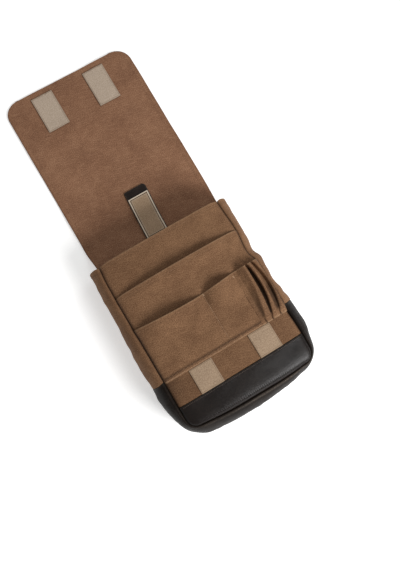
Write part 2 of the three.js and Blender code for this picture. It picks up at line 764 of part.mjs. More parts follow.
// The base reaches furthest at the middle of the bottom, and the flap at the other end.
const bottomMiddle = baseStations().pop();
const bottomReach = Math.max(
  ...sectionAngles.map((angle) => {
    return -gussetPoint(bottomMiddle.front, bottomMiddle.back, bottomMiddle.outward, bottomBulge, angle, 0).y;
  }),
);
bag.position.y = (bottomReach - flapLength) / 2;

export default bag;
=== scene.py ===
import math
import bpy
import numpy as np
from mathutils import Matrix, Vector


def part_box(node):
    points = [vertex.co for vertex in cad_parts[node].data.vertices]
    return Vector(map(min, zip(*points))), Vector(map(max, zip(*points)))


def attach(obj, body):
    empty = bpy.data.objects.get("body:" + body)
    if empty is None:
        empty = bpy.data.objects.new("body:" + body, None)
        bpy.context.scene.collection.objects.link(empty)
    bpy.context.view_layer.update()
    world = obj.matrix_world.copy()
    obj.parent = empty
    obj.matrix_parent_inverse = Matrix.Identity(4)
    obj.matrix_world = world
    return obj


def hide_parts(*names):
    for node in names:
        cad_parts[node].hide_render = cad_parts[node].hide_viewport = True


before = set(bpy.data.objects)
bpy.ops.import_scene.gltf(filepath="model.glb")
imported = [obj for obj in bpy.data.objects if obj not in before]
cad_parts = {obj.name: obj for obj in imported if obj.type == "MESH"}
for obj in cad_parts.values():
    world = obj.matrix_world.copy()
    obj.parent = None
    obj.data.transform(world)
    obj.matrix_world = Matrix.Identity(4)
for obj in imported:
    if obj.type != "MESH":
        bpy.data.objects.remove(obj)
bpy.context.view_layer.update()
print("frame loaded,", len(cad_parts), "nodes")

# Everything below is worked out in millimetres: x across the bag, y up it from the mouth's edge, z up.
body = {
    "frontHalf": 138.0,
    "backHalf": 150.0,
    "backFace": 16.85,        # top of the back panel
    "backPad": 6.0,
    "wall": 2.0,              # doubled canvas of the front
    "gap": 0.35,
    "pocketsEnd": -264.0,     # hem of the lower pocket and, at the sides, top edge of the leather
    "leatherTop": -316.0,     # top edge of the leather front
    "cornerAt": -346.0,       # where the front seam starts to turn
    "corner": 26.0,
    "depthPlaces": [0, 316, 380],
    "depths": [63, 85, 79],   # inside depth at those places down the bag
    "crown": 5.0,
    "edgeRoll": 4.0,
    "softness": 0.55,         # height of the slow waves in the front
    "grooveDip": 3.2,         # how far both edges of a side seam sink
}
frontHalf, backHalf, gap = body["frontHalf"], body["backHalf"], body["gap"]
pocketsEnd, leatherTop = body["pocketsEnd"], body["leatherTop"]
bottomAt = body["cornerAt"] - body["corner"]
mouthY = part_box("front_wall")[1].y * 1000
pi = math.pi


# Numbers on whole arrays.

def smooth(value, start, end):
    # 3t^2 - 2t^3, where t goes from 0 at start to 1 at end
    t = np.clip((value - start) / (end - start), 0, 1)
    return t * t * (3 - 2 * t)


def pulse(value, centre, width):
    # a bell: e to the minus ((value - centre) / width) squared
    return np.exp(-((value - centre) / width) ** 2)


def follow(places, values, at):
    # cubic through the rows, with each row's slope half the step between its neighbours
    places, values = np.asarray(places, float), np.asarray(values, float)
    last = len(places) - 1
    i = np.clip(np.searchsorted(places, at, side="right") - 1, 0, last - 1)
    t = np.clip((at - places[i]) / (places[i + 1] - places[i]), 0, 1)
    slopeIn = (values[i + 1] - values[np.maximum(i - 1, 0)]) / 2
    slopeOut = (values[np.minimum(i + 2, last)] - values[i]) / 2
    return ((2 * t**3 - 3 * t**2 + 1) * values[i] + (t**3 - 2 * t**2 + t) * slopeIn
            + (3 * t**2 - 2 * t**3) * values[i + 1] + (t**3 - t**2) * slopeOut)


def ripple(a, b, seed, waves):
    # sum of flat waves in seeded directions: for each (length, height), five sines of about that length
    chance = np.random.default_rng(seed)
    total = np.zeros(np.broadcast(a, b).shape)
    for length, height in waves:
        for turn, phase, stretch in chance.uniform(0, 1, (5, 3)):
            turn, size = turn * 2 * pi, length * (0.75 + 0.6 * stretch)
            along = (a * math.cos(turn) + b * math.sin(turn)) / size
            total = total + height / 2.2 * np.sin(2 * pi * (along + phase))
    return total


def creases(x, y, rows):
    # each row (x0, y0, x1, y1, width, height) is a ridge along a line that dies away at both ends
    total = np.zeros(np.broadcast(x, y).shape)
    for x0, y0, x1, y1, width, height in rows:
        run = math.hypot(x1 - x0, y1 - y0)
        along = ((x - x0) * (x1 - x0) + (y - y0) * (y1 - y0)) / run
        off = ((x - x0) * (y1 - y0) - (y - y0) * (x1 - x0)) / run
        total = total + height * np.exp(-(off / width) ** 2) * smooth(along, -0.1 * run, 0.3 * run) \
            * (1 - smooth(along, 0.6 * run, 1.1 * run))
    return total


def edgeLines(start, end, step, rim):
    # places from start to end, about step apart, packed within rim of both ends so that an edge is round
    span = abs(end - start)
    turn = rim * (1 - np.cos(np.linspace(0, pi / 2, 5)))
    inner = np.linspace(rim, span - rim, max(int(round((span - 2 * rim) / step)), 1) + 1)
    away = np.concatenate([turn[:-1], inner, (span - turn[:-1])[::-1]])
    return start + np.sign(end - start) * away


def rimFactor(lines, rim):
    # quarter circle: 0 at both ends of the lines and 1 from rim inwards
    off = np.minimum(np.abs(lines - lines[0]), np.abs(lines - lines[-1]))
    return np.sqrt(np.clip(1 - (1 - np.clip(off / rim, 0, 1)) ** 2, 0, 1))


def rims(rows, rowRim, columns, columnRim):
    # the quarter circle down the rows times the one along the columns
    return rimFactor(rows, rowRim)[:, None] * rimFactor(columns, columnRim)


def points(x, y, z):
    # three arrays spread to one shape and stacked as places
    return np.stack(np.broadcast_arrays(x, y, z), -1)


def alongPath(pathX, pathY):
    # steps of length 1 along a path
    along = np.stack([np.gradient(pathX), np.gradient(pathY)], -1)
    return along / np.linalg.norm(along, axis=1, keepdims=True)


# Meshes.

def place(spots):
    # from millimetres about the mouth to metres in the shared frame
    moved = np.array(spots, float)
    moved[..., 1] += mouthY
    return moved * 0.001


def fillMesh(name, spots, faces, cornerUV=None, marks=None):
    # a smooth mesh from places in millimetres, with its map and marks where they are given
    mesh = bpy.data.meshes.new(name)
    mesh.from_pydata(place(spots).tolist(), [], faces)
    if cornerUV is not None:
        clothMap = mesh.uv_layers.new(name="cloth")
        clothMap.data.foreach_set("uv", (cornerUV * 0.001).astype(np.float32).ravel())
    for title, values in (marks or {}).items():
        data = mesh.attributes.new(title, "FLOAT", "POINT").data
        data.foreach_set("value", values.astype(np.float32).ravel())
    mesh.polygons.foreach_set("use_smooth", np.full(len(mesh.polygons), True))
    mesh.update()
    piece = bpy.data.objects.new(name, mesh)
    bpy.context.scene.collection.objects.link(piece)
    return piece


def normalsOf(middle):
    # cross product of the step down the rows and the step along the columns
    normal = np.cross(np.gradient(middle, axis=0), np.gradient(middle, axis=1))
    return normal / np.maximum(np.linalg.norm(normal, axis=-1, keepdims=True), 1e-9)


def layer(name, middle, half, across, down, marks):
    # two skins, the middle surface plus and minus half the thickness along its normal, that share their rim
    shape = middle.shape[:2]
    count, innerCount = shape[0] * shape[1], (shape[0] - 2) * (shape[1] - 2)
    half = np.broadcast_to(half, shape).copy()
    half[[0, -1], :] = 0
    half[:, [0, -1]] = 0
    step = normalsOf(middle) * half[..., None]
    top = np.arange(count).reshape(shape)
    under = top.copy()
    under[1:-1, 1:-1] = count + np.arange(innerCount).reshape(shape[0] - 2, shape[1] - 2)
    spots = np.concatenate([(middle + step).reshape(-1, 3), (middle - step)[1:-1, 1:-1].reshape(-1, 3)])
    quads = lambda g: np.stack([g[:-1, :-1], g[1:, :-1], g[1:, 1:], g[:-1, 1:]], -1).reshape(-1, 4)
    faces = np.concatenate([quads(top), quads(under)[:, ::-1]])

    def bothSkins(grid):
        return np.concatenate([grid.reshape(count, -1), grid[1:-1, 1:-1].reshape(innerCount, -1)])

    uv = np.stack([np.broadcast_to(across, shape), -np.broadcast_to(down, shape)], -1)
    kept = {title: bothSkins(np.broadcast_to(value, shape)) for title, value in marks.items()}
    return fillMesh(name, spots, faces.tolist(), bothSkins(uv)[faces.ravel()], kept)


def finishPiece(piece, material, slotName, *nodes):
    # the material, the solids that it stands for and the body that it rides on; the slot name is not used
    piece.data.materials.append(material)
    if nodes:
        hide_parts(*nodes)
    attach(piece, "root")
    return piece


# Material building blocks.

def shade(r, g, b):
    # from the 0 to 255 numbers of a picture to linear light
    c = np.array([r, g, b]) / 255
    linear = np.where(c <= 0.04045, c / 12.92, ((c + 0.055) / 1.055) ** 2.4)
    return (*[float(v) for v in linear], 1.0)


def feed(tree, socket, value):
    # a socket takes either a link or a plain value
    if isinstance(value, bpy.types.NodeSocket):
        tree.links.new(value, socket)
    else:
        socket.default_value = value


def calculate(tree, operation, first, second=0.0, clamp=False):
    # one step of arithmetic on sockets or numbers
    node = tree.nodes.new("ShaderNodeMath")
    node.operation, node.use_clamp = operation, clamp
    feed(tree, node.inputs[0], first)
    feed(tree, node.inputs[1], second)
    return node.outputs[0]


def times(tree, first, second, clamp=False):
    return calculate(tree, "MULTIPLY", first, second, clamp)


def plus(tree, first, second):
    return calculate(tree, "ADD", first, second)


def less(tree, first, second):
    return calculate(tree, "SUBTRACT", first, second)


def blendColour(tree, factor, first, second):
    # first colour at factor 0, second at 1
    node = tree.nodes.new("ShaderNodeMix")
    node.data_type = "RGBA"
    feed(tree, node.inputs[0], factor)
    feed(tree, node.inputs[6], first)
    feed(tree, node.inputs[7], second)
    return node.outputs[2]


def cloudy(tree, vector, scale, detail=3.0, rough=0.55):
    # noise about 0.5
    node = tree.nodes.new("ShaderNodeTexNoise")
    tree.links.new(vector, node.inputs["Vector"])
    node.inputs["Scale"].default_value = scale
    node.inputs["Detail"].default_value = detail
    node.inputs["Roughness"].default_value = rough
    return node.outputs[0]


def ranged(tree, value, low, high, toLow=0.0, toHigh=1.0):
    # a smooth step from toLow to toHigh while the value goes from low to high
    node = tree.nodes.new("ShaderNodeMapRange")
    node.interpolation_type = "SMOOTHSTEP"
    feed(tree, node.inputs[0], value)
    for k, number in enumerate((low, high, toLow, toHigh)):
        feed(tree, node.inputs[k + 1], number)
    return node.outputs[0]


def turned(tree, vector, degrees, scale):
    # stretches a pattern by scale along an axis turned by degrees
    node = tree.nodes.new("ShaderNodeMapping")
    node.vector_type = "TEXTURE"
    tree.links.new(vector, node.inputs["Vector"])
    node.inputs["Rotation"].default_value = (0, 0, math.radians(degrees))
    node.inputs["Scale"].default_value = scale
    return node.outputs[0]


def newGroup(name, takes, gives):
    # an empty group with named inputs and outputs
    group = bpy.data.node_groups.new(name, "ShaderNodeTree")
    kinds = {"v": "NodeSocketVector", "f": "NodeSocketFloat", "c": "NodeSocketColor"}
    for title, kind in takes:
        group.interface.new_socket(name=title, in_out="INPUT", socket_type=kinds[kind])
    for title, kind in gives:
        group.interface.new_socket(name=title, in_out="OUTPUT", socket_type=kinds[kind])
    return group, group.nodes.new("NodeGroupInput").outputs, group.nodes.new("NodeGroupOutput").inputs


def useGroup(tree, group, **values):
    # places a group in a material with values of its own
    node = tree.nodes.new("ShaderNodeGroup")
    node.node_tree = group
    for title, value in values.items():
        feed(tree, node.inputs[title], value)
    return node.outputs


# Plain weave: half a sine across times half a sine down, so threads go over and under in turn.
weaveGroup, takes, gives = newGroup("plainWeave", [("Vector", "v"), ("Pitch", "f")], [("Height", "f")])
split = weaveGroup.nodes.new("ShaderNodeSeparateXYZ")
weaveGroup.links.new(takes["Vector"], split.inputs[0])
waveX = calculate(weaveGroup, "SINE", times(weaveGroup, split.outputs[0], takes["Pitch"]))
waveY = calculate(weaveGroup, "SINE", times(weaveGroup, split.outputs[1], takes["Pitch"]))
product = times(weaveGroup, waveX, waveY)
weaveGroup.links.new(calculate(weaveGroup, "MULTIPLY_ADD", product, 0.5), gives["Height"])

# Waxed cloth: fine grain, blotches and slow clouds of wax, and thin light streaks where it was creased.
waxGroup, takes, gives = newGroup(
    "waxedMottle",
    [("Vector", "v"), ("Dark", "c"), ("Middle", "c"), ("Light", "c"), ("Streaks", "f")],
    [("Color", "c"), ("Height", "f"), ("Tone", "f")])
v = takes["Vector"]
grain = cloudy(waxGroup, v, 560, 4, 0.8)
blotch = cloudy(waxGroup, v, 70, 4, 0.6)
cloud = cloudy(waxGroup, v, 14, 3, 0.5)
tone = plus(waxGroup, times(waxGroup, grain, 2.7), times(waxGroup, blotch, 0.35))
tone = plus(waxGroup, tone, times(waxGroup, cloud, 0.5))
tone = ranged(waxGroup, tone, 1.34, 2.32)
streak = cloudy(waxGroup, turned(waxGroup, v, -14, (11, 1, 1)), 420, 2, 0.5)
streak = times(waxGroup, ranged(waxGroup, streak, 0.56, 0.72), takes["Streaks"])
base = blendColour(waxGroup, ranged(waxGroup, tone, 0.0, 0.5), takes["Dark"], takes["Middle"])
base = blendColour(waxGroup, ranged(waxGroup, tone, 0.5, 1.0), base, takes["Light"])
waxGroup.links.new(blendColour(waxGroup, streak, base, takes["Light"]), gives["Color"])
waxGroup.links.new(plus(waxGroup, grain, blotch), gives["Height"])
waxGroup.links.new(tone, gives["Tone"])

# Wear and soil marks: a mark on the mesh times broken noise, for rubbed edges that also carry painted
# highlights and painted edge shade, and for dirt in seams that also carries painted shade.
wearDirtAndPaintedLightGroup, takes, gives = newGroup(
    "brokenMark", [("Vector", "v"), ("Mark", "f"), ("Breaks", "f")], [("Mask", "f")])
patchy = ranged(wearDirtAndPaintedLightGroup, cloudy(wearDirtAndPaintedLightGroup, takes["Vector"], 260, 3, 0.6), 0.3, 0.65)
broken = times(wearDirtAndPaintedLightGroup, takes["Breaks"], less(wearDirtAndPaintedLightGroup, 1.0, patchy))
wearDirtAndPaintedLightGroup.links.new(times(wearDirtAndPaintedLightGroup, takes["Mark"], less(wearDirtAndPaintedLightGroup, 1.0, broken), True), gives["Mask"])

# Pebbled leather: cells with a crease between them on a vector shaken by noise, and a finer noise on top.
pebbleGroup, takes, gives = newGroup(
    "pebbledGrain", [("Vector", "v"), ("Size", "f")], [("Height", "f"), ("Crease", "f"), ("Tone", "f")])
shaken = pebbleGroup.nodes.new("ShaderNodeVectorMath")
shaken.operation = "MULTIPLY_ADD"
jitter = pebbleGroup.nodes.new("ShaderNodeTexNoise")
pebbleGroup.links.new(takes["Vector"], jitter.inputs["Vector"])
jitter.inputs["Scale"].default_value = 240
pebbleGroup.links.new(jitter.outputs[1], shaken.inputs[0])
shaken.inputs[1].default_value = (0.0007, 0.0007, 0.0007)
pebbleGroup.links.new(takes["Vector"], shaken.inputs[2])
cells = pebbleGroup.nodes.new("ShaderNodeTexVoronoi")
cells.feature = "DISTANCE_TO_EDGE"
pebbleGroup.links.new(shaken.outputs[0], cells.inputs["Vector"])
pebbleGroup.links.new(takes["Size"], cells.inputs["Scale"])
crease = ranged(pebbleGroup, cells.outputs[0], 0.0, 0.3, 1.0, 0.0)
small = cloudy(pebbleGroup, takes["Vector"], 900, 2, 0.5)
pebbles = plus(pebbleGroup, less(pebbleGroup, 1.0, crease), times(pebbleGroup, small, 0.5))
pebbleGroup.links.new(pebbles, gives["Height"])
pebbleGroup.links.new(crease, gives["Crease"])
pebbleGroup.links.new(cloudy(pebbleGroup, takes["Vector"], 22, 2, 0.5), gives["Tone"])

# Hook and loop tape: matted fuzz in clumps on a fine nap.
fuzzGroup, takes, gives = newGroup(
    "mattedFuzz", [("Vector", "v"), ("Dark", "c"), ("Light", "c")], [("Color", "c"), ("Height", "f")])
nap = cloudy(fuzzGroup, takes["Vector"], 620, 3, 0.7)
clump = cloudy(fuzzGroup, takes["Vector"], 330, 4, 0.65)
mat = plus(fuzzGroup, nap, times(fuzzGroup, clump, 0.7))
matTone = ranged(fuzzGroup, mat, 0.62, 1.08)
fuzzGroup.links.new(blendColour(fuzzGroup, matTone, takes["Dark"], takes["Light"]), gives["Color"])
fuzzGroup.links.new(mat, gives["Height"])


def startMaterial(name, coordinate, **constants):
    # a material whose plain values stand on the shader's own sockets
    material = bpy.data.materials.new(name)
    material.use_nodes = True
    tree = material.node_tree
    shader = tree.nodes["Principled BSDF"]
    for title, value in constants.items():
        shader.inputs[title].default_value = value
    where = tree.nodes.new("ShaderNodeTexCoord").outputs[coordinate]
    return material, tree, shader, where


def maskOf(tree, where, title, breaks):
    # a mark on the mesh, broken up by noise
    node = tree.nodes.new("ShaderNodeAttribute")
    node.attribute_name = title
    return useGroup(tree, wearDirtAndPaintedLightGroup, Vector=where, Mark=node.outputs["Fac"], Breaks=breaks)["Mask"]


def bump(tree, shader, height, strength, distance, under=None):
    # bends the normal by a height, on top of another bump where one is given
    node = tree.nodes.new("ShaderNodeBump")
    node.inputs["Strength"].default_value = strength
    node.inputs["Distance"].default_value = distance
    feed(tree, node.inputs["Height"], height)
    if under is not None:
        tree.links.new(under, node.inputs["Normal"])
    tree.links.new(node.outputs[0], shader.inputs["Normal"])
    return node.outputs[0]


# what finishes of a kind share: pitch of the threads in metres, colours of dirt that also serve as painted
# shade, and colours of rubbed places that also serve as painted highlights
finishes = {"clothPitch": 0.0016, "webbingPitch": 0.0028, "clothSoilAndPaintedShade": (22, 14, 10), "leatherSoilAndPaintedShade": (8, 6, 5),
            "tapeSoilAndPaintedShade": (70, 50, 36), "leatherRubAndPaintedHighlight": (116, 105, 95)}


def waxedCanvas(name, dark, middle, light, edge, streaks):
    # waxed cotton: mottled wax, weave, worn edges in the edge colour that also paint light caught on pale
    # edges and shade on dark ones, and dark wax in the seams that also paints shade in seams, creases and
    # hollows
    material, tree, shader, where = startMaterial(name, "UV", **{"Specular IOR Level": 0.14})
    wax = useGroup(tree, waxGroup, Vector=where, Dark=shade(*dark), Middle=shade(*middle),
                   Light=shade(*light), Streaks=streaks)
    tint = blendColour(tree, maskOf(tree, where, "wearAndPaintedLight", 0.55), wax["Color"], shade(*edge))
    tint = blendColour(tree, maskOf(tree, where, "soilAndPaintedShade", 0.1), tint, shade(*finishes["clothSoilAndPaintedShade"]))
    tree.links.new(tint, shader.inputs["Base Color"])
    tree.links.new(ranged(tree, wax["Tone"], 0.0, 1.0, 0.78, 0.92), shader.inputs["Roughness"])
    weave = useGroup(tree, weaveGroup, Vector=where, Pitch=2 * pi / finishes["clothPitch"])["Height"]
    rough = bump(tree, shader, wax["Height"], 0.35, 0.0006)
    bump(tree, shader, weave, 0.3, 0.0003, rough)
    return material


def grainedLeather(name, dark, light, crease, roughLow, roughHigh, gloss, size=520.0):
    # pebbled leather: dark creases, slow clouds of tone and gloss, pale rubbed places that also carry painted
    # highlights, and dark soil that also carries painted shade
    material, tree, shader, where = startMaterial(name, "UV", **{"Specular IOR Level": gloss})
    grain = useGroup(tree, pebbleGroup, Vector=where, Size=size)
    tint = blendColour(tree, ranged(tree, grain["Tone"], 0.35, 0.65), shade(*dark), shade(*light))
    # pale rubbed places, which also paint the highlight band and the ridge highlights
    rubbed = times(tree, maskOf(tree, where, "wearAndPaintedLight", 0.6), 0.85)
    tint = blendColour(tree, rubbed, tint, shade(*finishes["leatherRubAndPaintedHighlight"]))
    tint = blendColour(tree, times(tree, grain["Crease"], 0.8), tint, shade(*crease))
    tint = blendColour(tree, maskOf(tree, where, "soilAndPaintedShade", 0.1), tint, shade(*finishes["leatherSoilAndPaintedShade"]))
    tree.links.new(tint, shader.inputs["Base Color"])
    tree.links.new(ranged(tree, grain["Tone"], 0.3, 0.7, roughLow, roughHigh), shader.inputs["Roughness"])
    bump(tree, shader, grain["Height"], 0.3, 0.0003)
    return material


def fuzzyTape(name, dark, light, border):
    # matted tape with a smooth woven border, and dark soil that also paints shade at its edges and beside its
    # stitches
    material, tree, shader, where = startMaterial(
        name, "UV", **{"Specular IOR Level": 0.15, "Sheen Weight": 0.15, "Roughness": 0.95})
    fuzz = useGroup(tree, fuzzGroup, Vector=where, Dark=shade(*dark), Light=shade(*light))
    tint = blendColour(tree, maskOf(tree, where, "border", 0.15), fuzz["Color"], shade(*border))
    tint = blendColour(tree, maskOf(tree, where, "soilAndPaintedShade", 0.2), tint, shade(*finishes["tapeSoilAndPaintedShade"]))
    tree.links.new(tint, shader.inputs["Base Color"])
    bump(tree, shader, fuzz["Height"], 0.6, 0.0007)
    return material


def wovenStrap(name, dark, light):
    # cotton webbing: ribs of a coarse plain weave on the object's own place
    material, tree, shader, where = startMaterial(
        name, "Object", **{"Specular IOR Level": 0.15, "Roughness": 0.92})
    rib = useGroup(tree, weaveGroup, Vector=where, Pitch=2 * pi / finishes["webbingPitch"])["Height"]
    fuzz = useGroup(tree, fuzzGroup, Vector=where, Dark=shade(*dark), Light=shade(*light))
    tint = blendColour(tree, times(tree, rib, 0.6), fuzz["Color"], shade(*dark))
    tree.links.new(tint, shader.inputs["Base Color"])
    bump(tree, shader, rib, 0.6, 0.0006)
    return material


def wornMetal(name, tint, bright):
    # gunmetal: brushed tone and small bright rubs
    material, tree, shader, where = startMaterial(name, "Object", **{"Metallic": 1.0})
    tone = cloudy(tree, turned(tree, where, 0, (9, 1, 1)), 300, 3, 0.6)
    rubbed = blendColour(tree, ranged(tree, tone, 0.5, 0.75), shade(*tint), shade(*bright))
    tree.links.new(rubbed, shader.inputs["Base Color"])
    tree.links.new(ranged(tree, tone, 0.3, 0.7, 0.3, 0.5), shader.inputs["Roughness"])
    bump(tree, shader, tone, 0.15, 0.0002)
    return material


def twistedThread(name, tint, pale):
    # sewing thread: two tones in small clouds
    material, tree, shader, where = startMaterial(
        name, "Object", **{"Specular IOR Level": 0.3, "Roughness": 0.7})
    tone = ranged(tree, cloudy(tree, where, 700, 2), 0.35, 0.65)
    tree.links.new(blendColour(tree, tone, shade(*tint), shade(*pale)), shader.inputs["Base Color"])
    return material


# edge colours: the body canvas's pale edge paints light caught on lips and hems as well as wear; the flap's
# dark edge paints shade along its turned edge
bodyCanvas = waxedCanvas("bodyCanvas", (92, 64, 44), (121, 89, 64), (154, 118, 87), (168, 136, 106), 0.32)
flapCanvas = waxedCanvas("flapCanvas", (107, 73, 55), (139, 101, 76), (170, 131, 103), (98, 69, 50), 0.4)
strapCanvas = waxedCanvas("strapCanvas", (80, 56, 40), (110, 80, 60), (146, 112, 86), (150, 118, 92), 0.3)
frontLeather = grainedLeather("frontLeather", (29, 22, 19), (35, 27, 23), (11, 9, 8), 0.28, 0.32, 0.2)
gussetLeather = grainedLeather("gussetLeather", (34, 27, 22), (42, 34, 28), (11, 9, 8), 0.5, 0.58, 0.08)
tabLeather = grainedLeather("tabLeather", (32, 21, 17), (46, 32, 26), (12, 8, 6), 0.42, 0.55, 0.24, 600.0)
loopTape = fuzzyTape("loopTape", (137, 114, 92), (174, 151, 127), (153, 130, 106))
hookTape = fuzzyTape("hookTape", (164, 145, 126), (194, 177, 159), (170, 150, 130))
tabTape = fuzzyTape("tabTape", (148, 122, 97), (182, 157, 130), (226, 212, 192))
webbingCloth = wovenStrap("webbingCloth", (78, 56, 40), (116, 88, 66))
gunmetal = wornMetal("gunmetal", (60, 56, 52), (120, 112, 104))
paleThread = twistedThread("paleThread", (160, 127, 98), (196, 165, 134))
plainThread = twistedThread("plainThread", (130, 98, 72), (158, 124, 96))
brownThread = twistedThread("brownThread", (48, 33, 23), (62, 44, 32))
blackThread = twistedThread("blackThread", (18, 14, 12), (30, 24, 21))
# this thread is paler than the leather, so that the stitched row also stands in for the highlight along it
darkThread = twistedThread("darkThread", (78, 66, 58), (106, 92, 82))
tapeThread = twistedThread("tapeThread", (112, 90, 70), (142, 118, 96))
print("materials ready")


# The front's face, which every layer on it follows.
# How far each side seam (-1 left, 1 right) lies to the left of a straight one, at places down the bag.
seamPath = {
    -1: ([0, 20, 45, 145, 170, 345], [2.5, 4.2, 5.5, 5.2, 4.2, 4.2]),
    1: ([0, 20, 40, 60, 80, 100, 115, 130, 146, 160, 252, 266, 290, 345],
        [5, 4.5, 3.5, 2.5, 3, 5.5, 7, 6, 0.5, 0, 0, 2.5, 1.5, 1.5])}
bottomRise = ([-138, 0, 30, 60, 90, 120], [6.3, 6.8, 5.5, 3.5, 1.5, -0.5])   # at places across the bag
shiftFrom = 70.0   # how far from the middle the seams' shifts start


def seamHeight(y):
    # back panel's face, plus the depth at that place down the bag, plus the wall
    return body["backFace"] + np.interp(-y, body["depthPlaces"], body["depths"]) + body["wall"]


def frontPuff(share):
    # crown (1 - s^2.5) + roll (1 - s^24), where s is the share of the half width
    s = np.minimum(np.abs(share), 1)
    return body["crown"] * (1 - s**2.5) + body["edgeRoll"] * (1 - s**24)


def slowWaves(x, y):
    # long seeded waves that die away at the side seams
    fade = 1 - np.minimum(np.abs(x) / frontHalf, 1) ** 6
    return ripple(x, y, 11, ((95, body["softness"]), (48, 0.5 * body["softness"]))) * fade


def frontFace(x, y):
    # the side seams' height plus the puff plus the slow waves
    return seamHeight(y) + frontPuff(x / frontHalf) + slowWaves(x, y)


def nearSeam(x, reach):
    # e to the minus distance from the side seams / reach
    return np.exp(-(frontHalf - np.abs(x)) / reach)


def sideDip(x, reach=2.6):
    # both seams pull the edge down
    return body["grooveDip"] * nearSeam(x, reach)


def seamShift(side, y):
    # cubic through that seam's shifts
    places, shifts = seamPath[side]
    return follow(places, shifts, -y)


def drawn(x, y):
    # a place across the front, moved with the seam that it lies near
    return (x - seamShift(1, y) * smooth(x, shiftFrom, frontHalf)
            - seamShift(-1, y) * smooth(-x, shiftFrom, frontHalf))


def raised(x, y):
    # the bottom seam lies higher than a straight one, most to the left: rise times down^1.5
    down = np.clip((leatherTop - y) / (leatherTop - bottomAt), 0, 1)
    return np.interp(x, *bottomRise) * down**1.5


def pucker(along, off, centre, width, pitch, height):
    # sine along a seam times a bell across it
    return height * np.sin(2 * pi * along / pitch + 0.7 * np.sin(along / 11)) * pulse(off, centre, width)


def seamSoilAndShade(x):
    # a bell on each side seam: dark wax in the seam together with painted seam shade
    return pulse(np.abs(x), frontHalf, 3.3)


# Front wall.
frontWall = {"hem": 11.0, "hemExtra": 0.25, "cornerDip": 3.6, "cornerReach": 9.0, "step": 3.2, "rim": 1.2}


def frontWallTop(x, y):
    # the front's face, with a thicker hem at the mouth that is gathered by its stitches
    p = frontWall
    hem = p["hemExtra"] * (1 - smooth(-y, p["hem"] - 1.5, p["hem"]))
    z = frontFace(x, y) - sideDip(x) + hem + pucker(x, -y, 8.5, 3.2, 8.5, 0.22)
    dip = p["cornerDip"] * nearSeam(x, p["cornerReach"]) * np.exp(y / 20)
    return points(drawn(x, y), y - dip, z)


def makeFrontWall():
    # a grid from the mouth to the leather, its middle half the wall below the face
    p = frontWall
    x = edgeLines(-frontHalf, frontHalf, p["step"], p["rim"])[None, :]
    y = edgeLines(0, leatherTop + gap, p["step"], p["rim"])[:, None]
    middle = frontWallTop(x, y)
    middle[..., 2] -= body["wall"] / 2
    half = body["wall"] / 2 * rims(y[:, 0], p["rim"], x[0], p["rim"])
    # painted shade: the strip between the lower pocket's hem and the leather is darker, most at its left end
    leftEnd = (1 - smooth(x, -137, -84)) * (1 - 0.6 * smooth(-y, 275, 314))
    stripShade = smooth(y, -262, -265) * (0.14 + 0.36 * leftEnd)
    hemLine = 0.12 * pulse(y, -12, 1.6)
    # the mouth's pale edge is wear and a painted highlight
    marks = {"wearAndPaintedLight": np.exp(y / 1.1) * np.ones_like(x),
             "soilAndPaintedShade": np.maximum(np.maximum(seamSoilAndShade(x), hemLine), stripShade)}
    piece = layer("frontWallCanvas", middle, half, x, -y, marks)
    return finishPiece(piece, bodyCanvas, "canvas", "front_wall")


# Middle pocket.
middlePocket = {"top": -72.5, "end": -249.0, "gape": 13.0, "cloth": 1.5, "hem": 10.0, "hemExtra": 0.25,
                "step": 2.6, "rim": 0.9}
middleFolds = ((-128, -80, -96, -120, 7, 0.9), (122, -82, 96, -118, 8, 0.8),
               (-40, -96, 20, -104, 9, 0.5), (40, -84, 88, -92, 9, 0.5))


def middleTop(x, y):
    # the front's face, lifted by gape times the square of a smooth step towards the mouth times 1 - s^2
    p = middlePocket
    lift = p["gape"] * smooth(y, -145, p["top"]) ** 2 * (1 - (x / frontHalf) ** 2)
    hem = p["hemExtra"] * smooth(y, p["top"] - p["hem"], p["top"] - p["hem"] + 1.5)
    z = frontFace(x, y) - sideDip(x) + gap + lift + p["cloth"] + hem + creases(x, y, middleFolds)
    z = z + pucker(x, p["top"] - y, 7.5, 3.4, 8, 0.22)
    dip = 3.0 * nearSeam(x, 7) * np.exp((y - p["top"]) / 16)
    return points(drawn(x, y), y - dip * smooth(y, -130, -80), z)


def makeMiddlePocket():
    # a grid from the pocket's mouth to its end, its middle half the cloth below the face
    p = middlePocket
    x = edgeLines(-frontHalf, frontHalf, p["step"], p["rim"])[None, :]
    y = edgeLines(p["top"], p["end"], p["step"], p["rim"])[:, None]
    middle = middleTop(x, y)
    middle[..., 2] -= p["cloth"] / 2
    half = p["cloth"] / 2 * rims(y[:, 0], p["rim"], x[0], p["rim"])
    # the lip's pale rim is wear and a painted highlight
    marks = {"wearAndPaintedLight": np.exp(y - p["top"]) * np.ones_like(x),
             "soilAndPaintedShade": np.maximum(seamSoilAndShade(x), 0.12 * pulse(y, p["top"] - 10.6, 1.2))}
    piece = layer("middlePocketCanvas", middle, half, x, -y, marks)
    return finishPiece(piece, bodyCanvas, "canvas", "middle_pocket")


# Lower pocket.
lowerPocket = {"top": -145.0, "sag": 7.0, "sleevesAt": 80.0, "right": 81.0, "divider": 7.7, "gape": 15.0,
               "gapeFrom": -222.35, "cloth": 1.5, "hem": 9.0, "hemExtra": 0.25, "hemStart": -249.35,
               "rim": 0.9}
lowerFolds = ((-130, -152, -84, -204, 8, 1.2), (2, -158, -34, -200, 7, 1.1), (-10, -170, -60, -236, 9, 0.7),
              (13, -158, 34, -196, 6, 0.9), (74, -156, 52, -206, 6, 0.9), (-100, -230, -60, -246, 7, 0.6),
              (20, -236, 62, -244, 7, 0.5))
pocketTall = lowerPocket["top"] - pocketsEnd


